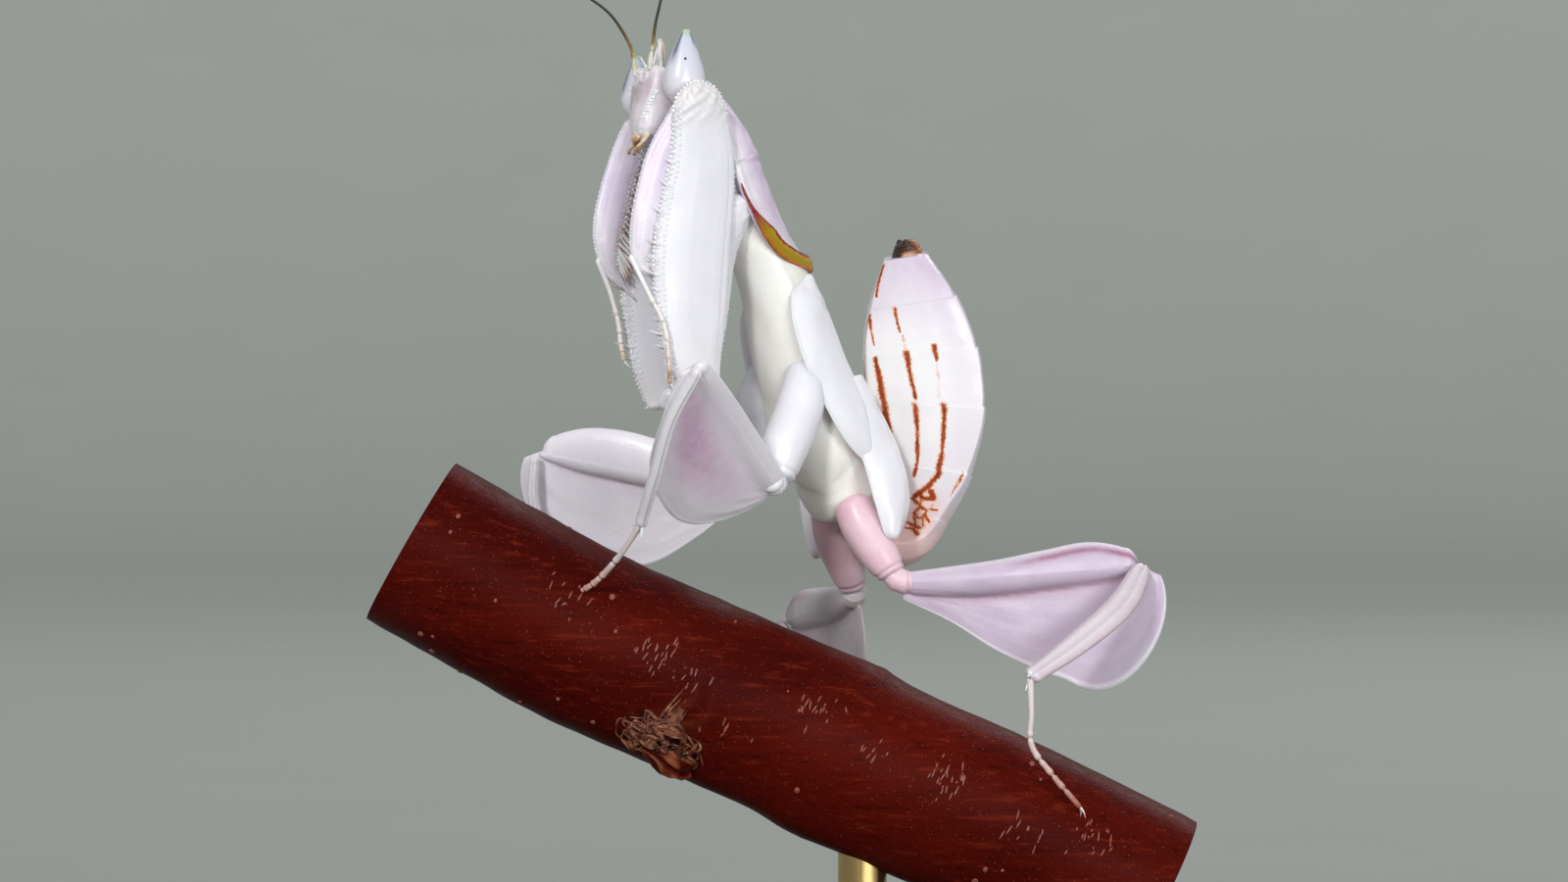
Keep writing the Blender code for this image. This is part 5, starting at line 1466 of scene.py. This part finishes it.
# %% Front legs
FORE = {
    "left": dict(coxa=[(-3.6, -1.9, 12.4), (-4.8, -1.7, 9.6), (-5.2, -1.45, 6.2), (-5.55, -1.35, 2.9)],
                 femur=[(-6.0, -2.3, 2.2), (-6.7, -2.4, 5.0), (-6.78, -2.5, 9.5), (-6.3, -2.65, 14.0),
                        (-6.85, -3.05, 18.0)], blade=[0.85, 1.75, 2.13, 1.8, 1.2],
                 tibia=[(-7.0, -2.6, 17.3), (-7.5, -2.35, 15.9), (-8.38, -2.2, 14.0), (-9.0, -2.05, 11.5),
                        (-9.3, -1.95, 9.9)],
                 claw=[(-9.4, -1.9, 8.9), (-8.9, -2.0, 8.3)],
                 tarsus=[(-9.95, -1.85, 9.3), (-9.4, -2.75, 7.4), (-8.65, -3.1, 5.6), (-8.3, -3.05, 2.8)]),
    "right": dict(coxa=[(-3.6, 1.9, 12.4), (-4.8, 1.7, 9.6), (-5.2, 1.45, 6.0), (-5.5, 1.35, 2.6)],
                  femur=[(-5.7, 2.3, 1.6), (-6.1, 2.4, 4.4), (-6.3, 2.45, 9.0), (-6.2, 2.45, 13.4),
                         (-6.4, 2.4, 16.2)], blade=[0.85, 1.55, 1.85, 1.75, 1.15],
                  tibia=[(-7.1, 2.2, 16.5), (-7.8, 2.05, 15.2), (-8.5, 1.95, 13.2), (-9.1, 1.85, 11.2),
                         (-9.25, 1.85, 9.8)],
                  claw=[(-9.0, 1.9, 8.6), (-8.2, 2.0, 7.8)],
                  tarsus=[(-9.85, 1.8, 9.2), (-9.15, 1.8, 7.6), (-8.65, 1.8, 6.0), (-8.5, 1.8, 4.9),
                          (-8.3, 1.8, 4.0)]),
}
FLAT = (0.0, 1.0, 0.0)


def edge_points(path, widths, shares, sideways=0.0):
    """Points on one edge of a flat limb, with the way out of that edge."""
    shares = np.array(shares)
    ahead = heading(path, shares)
    out = unit(np.cross(ahead, np.array(FLAT)))
    points = along(path, shares) + out * along(widths, shares)[:, None]
    return points + np.array([0.0, sideways, 0.0]), out, ahead


def every(points, gap):
    """Points along a line of points, one every gap millimetres."""
    run = np.concatenate([[0.0], np.cumsum(np.linalg.norm(np.diff(points, axis=0), axis=1))])
    places = np.arange(gap, run[-1] - gap, gap)
    return np.stack([np.interp(places, run, points[:, k]) for k in range(3)], axis=1)


def rows_beside(grid, at_front, steps):
    """Columns of a flat limb's grid, counted from its front or back edge towards the near face."""
    sides = grid.shape[1]
    edge = 0 if (grid[:, 0, 0].mean() < grid[:, sides // 2, 0].mean()) == at_front else sides // 2
    near = 1 if edge else -1
    return [(edge + near * step) % sides for step in steps]


def fore_blade(word, spec):
    femur, widths, depths = spec["femur"], spec["blade"], [0.4, 0.42, 0.45, 0.42, 0.3]

    def ridges(s, a):
        lines = 0.012 * within(np.cos(a * 9)) ** 4 * bump_at(s, 0.5, 0.4)
        folds = -0.012 * bump_at(s, 0.87, 0.03) + 0.04 * bump_at(np.abs(np.cos(a)), 0.97, 0.05)
        folds -= 0.045 * bump_at(np.abs(np.cos(a)), 0.80, 0.035) * bump_at(s, 0.5, 0.4)
        cap = 0.06 * np.clip(ripples(9 * s, a / 1.2, 77, finest=4), -1, 1) * within((s - 0.84) * 9)
        return lines + folds + cap + 0.02 * ripples(2 * s, a / 3.1, 101, finest=3)

    grid, marks = tube(femur, widths, depths, FLAT, 220, 96, (0.03, 0.075), 0.95, ridges)
    marks["blush"] = 0.35 * within((marks["along"] - 0.82) * 7) + 0.4 * within(1 - 3 * marks["along"])
    marks["tint"] = (0.4 * within(marks["along"] * 8 - 6.9)
                     + 0.6 * within(np.abs(np.cos(angle_of(marks))) * 6 - 5))
    piece(f"trap_thigh_{word}", [(grid, marks)], WHITE, [f"fore_femur_{word}"])
    spines, beads = [], []
    for sideways in (0.16, -0.16):
        shares = np.linspace(0.24, 0.78, 15)
        points, out, ahead = edge_points(femur, widths, shares, sideways)
        for k, (p, o, f) in enumerate(zip(points, out, ahead)):
            length = (0.8 if k % 2 else 0.45) * (1.3 - 0.9 * shares[k])
            spines.append(spine(p - 0.1 * o, o + 0.25 * f, length, 0.085, 0.12 * f))
    if word == "right":
        for z in (2.75, 2.2, 1.75):
            spines.append(spine((-6.0 - 0.32 * z, 2.3, z), (-1.0, -0.2, -0.3), 0.4, 0.07))
    rim = every(np.concatenate([grid[12:, 0], grid[:12:-1, 48]]), 0.23)
    beads += beads_along(rim,
                         list(np.interp(np.arange(len(rim)), [0, len(rim) / 2, len(rim)],
                                        [0.06, 0.10, 0.06])), 5)
    for column in rows_beside(grid, True, (5, 10)) + rows_beside(grid, True, (-6,)):
        beads += beads_along(every(grid[40:205, column], 0.27), [0.07] * 200, 8)
    piece(f"trap_thigh_spines_{word}", spines, PEARL)
    piece(f"trap_thigh_beads_{word}", beads, PEARL)


def fore_hip(word, spec):
    coxa, widths, depths = spec["coxa"], [0.9, 0.95, 0.95, 0.6], [0.6, 0.45, 0.42, 0.4]

    def ridges(s, a):
        return 0.05 * bump_at(np.abs(np.cos(a)), 0.95, 0.08) + 0.025 * ripples(3 * s, a / 3.1, 111) \
            - 0.06 * bump_at(s, 0.92, 0.02)

    grids = [tube(coxa, widths, depths, FLAT, 130, 72, (0.05, 0.08), 0.95, ridges)]
    grids += [tube([coxa[-1], spec["femur"][0]], [0.55, 0.6], [0.42, 0.42], FLAT, 30, 40, (0.3, 0.3))]
    piece(f"trap_hip_{word}", grids, WHITE, [f"fore_coxa_{word}"])
    points, out, ahead = edge_points(coxa, widths, np.linspace(0.12, 0.92, 32))
    teeth = [spine(p - 0.04 * o, o + 0.1 * f, 0.2, 0.075) for p, o, f in zip(points, out, ahead)]
    piece(f"trap_hip_teeth_{word}", teeth, PEARL)


def fore_shin(word, spec):
    path = spec["tibia"] + spec["claw"]
    widths, depths = [0.5, 0.72, 0.88, 0.88, 0.68, 0.36, 0.12], [0.35, 0.4, 0.42, 0.42, 0.4, 0.26, 0.09]

    def ridges(s, a):
        return 0.03 * bump_at(np.abs(np.cos(a)), 0.93, 0.08) - 0.02 * bump_at(np.abs(np.cos(a)), 0.55, 0.12) \
            + 0.015 * ripples(3 * s, a / 3.1, 121, finest=3) - 0.04 * bump_at(s, 0.06, 0.02)

    grid, marks = tube(path, widths, depths, FLAT, 180, 72, (0.05, 0.03), 0.95, ridges)
    marks["tint"] = np.clip(0.55 * np.abs(marks["along"] - 0.35) / 0.35, 0, 0.9)
    piece(f"trap_shin_{word}", [(grid, marks)], SHIN, [f"fore_tibia_{word}"])
    spines, beads = [], []
    for sideways in (0.2, -0.2):
        shares = np.linspace(0.16, 0.80, 24)
        points, out, ahead = edge_points(path, widths, shares, sideways)
        inward = np.sign(out[:, :1]) * out
        points = points if out[0, 0] > 0 else points - 2 * out * along(widths, shares)[:, None]
        for k, (p, o, f) in enumerate(zip(points, inward, ahead)):
            length = 0.3 + 0.35 * shares[k] + 0.55 * within(shares[k] - 0.6) / 0.2
            spines.append(spine(p - 0.08 * o, o + 0.5 * f, length, 0.07, 0.1 * f))
    for sideways in (0.12, -0.12):
        shares = np.linspace(0.52, 0.84, 9)
        points, out, ahead = edge_points(path, widths, shares, sideways)
        points = points if out[0, 0] > 0 else points - 1.6 * out * along(widths, shares)[:, None]
        for k, (p, o, f) in enumerate(zip(points, np.sign(out[:, :1]) * out, ahead)):
            spines.append(spine(p - 0.1 * o, 0.8 * o + (0.5 + 0.12 * k) * f, 1.15 + 0.3 * (k % 2), 0.055,
                                0.25 * f))
    shares = np.linspace(0.1, 0.8, 40)
    points, out, _ = edge_points(path, widths, shares)
    points = points if out[0, 0] < 0 else points - 2 * out * along(widths, shares)[:, None]
    beads += beads_along(points, [0.06] * 40, 6)
    for k, column in enumerate(rows_beside(grid, False, (3, 7, 11))):
        beads += beads_along(every(grid[18 + 20 * k:130, column], 0.25), [0.075 - 0.012 * k] * 200, 9 + k)
    bristles = []
    for k, row in enumerate(range(50, 118, 4)):
        p = grid[row, rows_beside(grid, False, (5 + 3 * (k % 3),))[0]]
        bristles.append(spine(p, (0.55, -0.35, -0.75), 0.42 + 0.1 * (k % 3), 0.05, (0.05, 0.0, -0.03)))
    for k in range(9):
        p = grid[100 + 4 * k, rows_beside(grid, False, (2 + 3 * (k % 2),))[0]]
        spines.append(spine(p, (0.85 - 0.06 * k, -0.25, -0.45 - 0.08 * k), 1.5 - 0.07 * k, 0.15,
                            (0.08, 0.0, -0.22)))
    piece(f"trap_shin_bristles_{word}", bristles, TIP_SHELL)
    end, before = np.array(path[-1]), np.array(path[-2])
    reach = 0.75 if word == "left" else 1.2
    spines.append(spine(end - 0.2 * unit(end - before), end - before, reach, 0.13, (0.12, 0.0, -0.05), 14))
    piece(f"trap_shin_spines_{word}", spines, CLAW)
    piece(f"trap_shin_beads_{word}", beads, PEARL)


# %% [markdown]
# Each foot has five joints, a long one and four short ones with a soft pad beneath, and ends in a
# pair of hooked claws. The joints are narrow waists along one tube. The claws leave the last
# joint side by side and bend down to the bark.

# %% Feet
def foot(name, stands_for, path, radius, down, finish=FOOT):
    ends = np.array([0.44, 0.62, 0.75, 0.86])

    def joints(s, a):
        height = 0 * s
        for end in ends:
            height -= radius * (0.40 * bump_at(s, end, 0.012) - 0.16 * bump_at(s, end - 0.03, 0.02))
        return height

    radii = [radius * 1.1, radius * 0.85, radius * 0.9, radius * 0.85, radius * 0.8]
    grids = [tube(path, radii, radii, (0.9, 0.1, 0.3), 150, 24, (0.03, 0.03), relief=joints)]
    end, ahead = np.array(path[-1], float), heading(path, np.array([1.0]))[0]
    down = unit(np.array(down, float) - ahead * np.dot(ahead, down))
    across = np.cross(ahead, down)
    for side in (-1, 1):
        grids.append(spine(end + across * side * radius * 0.4, ahead + 0.7 * side * across, radius * 3.2,
                           radius * 0.42, down * radius * 1.5, 10))
    return piece(name, grids, finish, [stands_for])


for word, spec in FORE.items():
    fore_hip(word, spec)
    fore_blade(word, spec)
    fore_shin(word, spec)
    foot(f"trap_foot_{word}", f"fore_tarsus_{word}", spec["tarsus"], 0.14, (1, 0, -0.2), TRAP_FOOT)

# %% [markdown]
# The walking legs make the disguise: each thigh bears a broad lobe like a petal. The thigh is one
# skin, a round rod above that thins smoothly into the leaf below. For every share of the thigh we
# walk round a section: over the rod, down one side of the leaf to its rim and up the other side.
# The rays lean outward towards the knee, which rounds the leaf off beyond the thigh's end.
# The right hind petal wears a duller, darker finish than the left, which is painted shade. The
# right hind petal wears a duller, darker finish than the left, which is a guess.

# %% Petal thighs
WALKING = {
    "mid_left": dict(coxa=[(0.3, -1.7, 3.9), (-0.6, -2.7, 1.8), (-1.9, -3.3, -0.4), (-2.6, -3.6, -2.0)],
                     hip=(-2.85, -3.95, -2.15), knee=(-10.3, -9.3, 3.75), lobe=(0.1, 0.8, -1.0),
                     rod=[0.5, 0.42, 0.32, 0.28, 0.28, 0.34], crest=[0.6, 0.7, 0.7, 0.7, 0.65, 0.5],
                     reach=[1.0, 4.7, 5.2, 4.6, 3.0, 0.9], leans=[-40, -14, -2, 3, 4, 10],
                     ankle=(-10.2, -3.35, -4.2),
                     toes=[(-10.3, -1.6, -5.6), (-10.5, 0.6, -7.0), (-10.9, 2.2, -7.75)]),
    "mid_right": dict(coxa=[(0.3, 1.7, 3.9), (0.0, 2.6, 2.0), (-0.1, 3.2, -0.2), (-0.2, 3.4, -2.2)],
                      hip=(-0.55, 3.75, -2.35), knee=(-8.05, 11.1, -0.5), lobe=(0.2, 0.17, -1.0),
                      rod=[0.5, 0.7, 0.75, 0.72, 0.65, 0.45], crest=[0.6, 1.2, 1.65, 1.85, 1.6, 0.7],
                      reach=[0.8, 3.3, 5.0, 5.6, 5.2, 1.1], leans=[-4, 0, 0, 3, 11, 60],
                      ankle=(-6.7, 10.3, -8.3),
                      toes=[(-6.1, 9.5, -9.5), (-5.7, 8.9, -10.8), (-5.1, 8.5, -12.0)]),
    "hind_left": dict(coxa=[(2.9, -1.6, -2.9), (3.3, -2.3, -4.4), (3.9, -3.0, -5.8), (4.4, -3.5, -6.9)],
                      hip=(4.85, -3.75, -7.15), knee=(16.2, -8.2, -6.35), lobe=(0.1, 0.0, -1.0),
                      rod=[0.55, 0.85, 0.88, 0.78, 0.66, 0.5], crest=[0.45, 0.6, 0.78, 1.1, 1.35, 0.8],
                      reach=[0.9, 2.25, 4.05, 5.4, 6.1, 1.3], leans=[-5, -3, 0, 3, 12, 62],
                      ankle=(7.9, -10.9, -11.9),
                      toes=[(8.1, -10.8, -13.6), (8.25, -10.6, -15.3), (9.3, -10.9, -16.8),
                            (10.8, -11.2, -18.5)]),
    "hind_right": dict(coxa=[(3.4, 1.3, -2.9), (4.1, 1.9, -4.8), (5.0, 2.3, -6.4), (5.7, 2.6, -7.7)],
                       hip=(5.95, 3.0, -8.05), knee=(8.8, 14.3, -9.5), lobe=(0.25, 0.0, -1.0),
                       rod=[0.55, 0.8, 0.82, 0.75, 0.66, 0.5], crest=[0.5, 0.75, 0.95, 1.15, 1.2, 0.6],
                       reach=[0.9, 3.5, 4.4, 5.5, 5.9, 1.3], leans=[-40, -22, -6, 3, 14, 62],
                       ankle=(7.8, 5.6, -14.4),
                       toes=[(8.0, 4.2, -15.4), (8.2, 2.6, -16.5), (8.4, 1.1, -17.6)]),
}
LOBE_FRONT, LOBE_CUP = (-0.5, -0.87, 0.0), 0.5


def lobe_frame(hip, knee, lobe_way):
    """Along the thigh, down the lobe, and square to the lobe on its front side."""
    axis = unit(knee - hip)
    down = np.array(lobe_way, float)
    down = unit(down - axis * np.dot(down, axis))
    face = np.cross(axis, down)
    return axis, down, face * math.copysign(1.0, np.dot(face, LOBE_FRONT))


def petal_thigh(name, stands_for, spec, finish, seed):
    hip, knee = np.array(spec["hip"]), np.array(spec["knee"])
    axis, down, face = lobe_frame(hip, knee, spec["lobe"])
    s = np.linspace(0, 1, 170) ** 0.96
    over, leafward = np.radians(np.linspace(-90, 90, 30)), 0.5 - 0.5 * np.cos(np.linspace(0, math.pi, 52))
    close = rounded_end(s, 0.04, 1e-3)
    close *= rounded_end(1 - s, 0.05, 1e-3)
    rod, crest = along(spec["rod"], s) * close, along(spec["crest"], s) * close
    reach = np.maximum(along(spec["reach"], s), rod * 1.15)
    lean = np.radians(along(spec["leans"], s))
    ray = down * np.cos(lean)[:, None] + axis * np.sin(lean)[:, None]
    middle = hip + (knee - hip) * s[:, None]
    columns, depth = [], []
    for angle in over:
        columns.append(middle + face * (rod * math.sin(angle))[:, None]
                       - down * (crest * math.cos(angle))[:, None])
        depth.append(-crest * math.cos(angle))
    for share, side in [(t, 1) for t in leafward[1:]] + [(t, -1) for t in leafward[-2:0:-1]]:
        d = reach * share
        round_part = rod * np.sqrt(within(1 - (d / (1.15 * np.maximum(rod, 1e-3))) ** 2))
        leaf_part = PLATE / 2 * (0.16 + 0.62 * (1 - share) ** 0.7) * np.sqrt(max(1 - share ** 14, 0)) * close
        if name == "mid_petal_left":
            round_part = rod * np.exp(-(d / 0.9) ** 2)
        thick = (round_part ** 4 + leaf_part ** 4) ** 0.25
        curl = LOBE_CUP * share ** 1.5 * (1 - 1.1 * share) * np.sin(np.pi * within(s))
        columns.append(middle + ray * d[:, None] + face * (side * thick + curl)[:, None])
        depth.append(d)
    grid, depth = np.stack(columns, axis=1), np.stack(depth, axis=1)
    share = within(depth / reach[:, None])
    s = s[:, None] + 0 * share
    spread = share * (1.0 - 0.25 * s)
    veins = 0.008 * within(np.sin(26 * spread + 5 * s) - 0.55) / 0.45 * within(share * 4)
    height = veins + 0.014 * ripples(2 * s, 2 * share, seed, finest=2.5) * within(share * 3)
    height += 0.03 * bump_at(share, 0.975, 0.02) - 0.03 * bump_at(s, 0.94, 0.02) * (share < 0.1)
    height *= np.minimum(1, close[:, None])
    grid = raised(grid, height)
    # Painted shade on the leaf just below the rod.
    crease = bump_at(depth / np.maximum(rod[:, None], 0.2), 1.2, 0.45)
    below_crest = depth + crest[:, None]
    if name.startswith("hind"):
        streak = bump_at(below_crest, 0.36, 0.15) * within((s - 0.42) * 6)
        # A painted shadow: a narrow dark-pink band on the leaf just below the rod.
        under_rod_shadow = bump_at(depth / np.maximum(rod[:, None], 0.2), 1.2 + 0.12 * s, 0.16 + 0.14 * s)
        tint = 0.4 * under_rod_shadow * within(3 * s - 0.3) + 0.8 * streak
        blush = 0.8 * within((share - 0.93) * 25) + 0.9 * bump_at(below_crest, 0.0, 0.13)
    elif name.endswith("left"):
        tint = 0.6 * within((share - 0.75) * 4) + 0.4 * within(1 - depth / 0.9)
        blush = 0.95 * bump_at(share, 0.48, 0.3) * bump_at(s, 0.60, 0.4)
    else:
        # Here the grey tint adds painted shade below the rod.
        tint, blush = 0.12 * crease, 0 * share
    marks = {"tint": within(tint), "blush": within(blush),
             "scar_and_crease_shade": (0.1 if name == "mid_petal_left" else 0.3) * crease, "along": s}
    return piece(name, [(grid, marks)], finish, [stands_for])


def walking_leg(key, spec, seed):
    pair, word = key.split("_")
    mid = pair == "mid"
    finish, slot = (PETAL, "petal_cuticle") if mid else (PINK, "pink_cuticle")
    # The right hind petal takes the darker copy, which is painted shade.
    finish = PAINTED_SHADE_PINK if key == "hind_right" else finish
    hip_finish, hip_slot = (WHITE, "white_cuticle") if mid else (HIP, "pink_cuticle")
    hip, knee, ankle = (np.array(spec[part]) for part in ("hip", "knee", "ankle"))
    down, back = unit(ankle - knee), unit(hip - knee)
    thick = [0.95, 1.2, 1.2, 0.9] if mid else [0.95, 1.08, 0.98, 0.72]

    def hip_relief(s, a):
        return -0.06 * bump_at(s, 0.9, 0.03) + 0.02 * ripples(s, a / 3.1, seed + 1, finest=2) \
            + 0.03 * bump_at(np.cos(a), 1, 0.15)

    grids = [tube(spec["coxa"], thick, thick, (1, 0, 0), 90, 48, (0.1, 0.08), relief=hip_relief)]
    link = [spec["coxa"][-1] - 0.5 * unit(hip - np.array(spec["coxa"][-1])), hip, hip - back * 0.7]
    grids.append(tube(link, [0.5, 0.62, 0.5], [0.5, 0.62, 0.5], (1, 0, 0), 40, 40, (0.2, 0.3),
                      relief=lambda s, a: 0.05 * bump_at(s, 0.3, 0.06) - 0.05 * bump_at(s, 0.62, 0.04)))
    if key == "hind_right":
        grids[1][1]["tint"] = 1.0
    piece(f"{pair}_hip_{word}", grids, hip_finish, [f"{pair}_coxa_{word}"])
    petal_thigh(f"{pair}_petal_{word}", f"{pair}_femur_{word}", spec, finish, seed)
    front = lobe_frame(hip, knee, spec["lobe"])[2]
    bow = -unit(back - down * np.dot(back, down))
    bend, lift = (0.62, 0.25) if key == "mid_left" else (0.7, 0.8)
    shin = [knee + front * (lift + 0.05) - back * 0.1,
            knee + (ankle - knee) * 0.3 + front * lift + bow * bend,
            knee + (ankle - knee) * 0.65 + front * 0.35 + bow * bend * 0.75, ankle]
    wide = [0.26, 0.28, 0.30, 0.26] if mid else [0.5, 0.74, 0.68, 0.46]

    def keel(s, a):
        across = np.cos(a)
        strands = (0.05 * bump_at(across, 0.42, 0.13) - 0.04 * bump_at(across, 0.1, 0.16)
                   + 0.05 * bump_at(across, -0.4, 0.15))
        return strands + 0.03 * bump_at(s, 0.97, 0.03) - 0.03 * bump_at(s, 0.06, 0.02)

    grid, marks = tube(shin, wide, [0.36, 0.34, 0.3, 0.27], np.cross(down, back), 120, 48, (0.06, 0.03), 0.9,
                       relief=keel)
    marks["tint"] = 0.7 if mid else 0.7 * within(np.abs(np.cos(angle_of(marks))) * 2 - 0.9)
    piece(f"{pair}_shin_{word}", [(grid, marks)], PETAL if mid else GREY_SHIN, [f"{pair}_tibia_{word}"])
    across = unit(np.cross(down, back))
    spurs = [spine(ankle + across * 0.2 * side, down + 0.6 * across * side - 0.25 * back, 0.55, 0.10)
             for side in (-1, 1)]
    piece(f"{pair}_spurs_{word}", spurs, PEARL)
    path = [ankle - down * 0.1] + [np.array(p) for p in spec["toes"]]
    foot(f"{pair}_foot_{word}", f"{pair}_tarsus_{word}", path, 0.17, (0, 0, -1))


for seed, (key, spec) in enumerate(WALKING.items()):
    walking_leg(key, spec, 200 + 10 * seed)
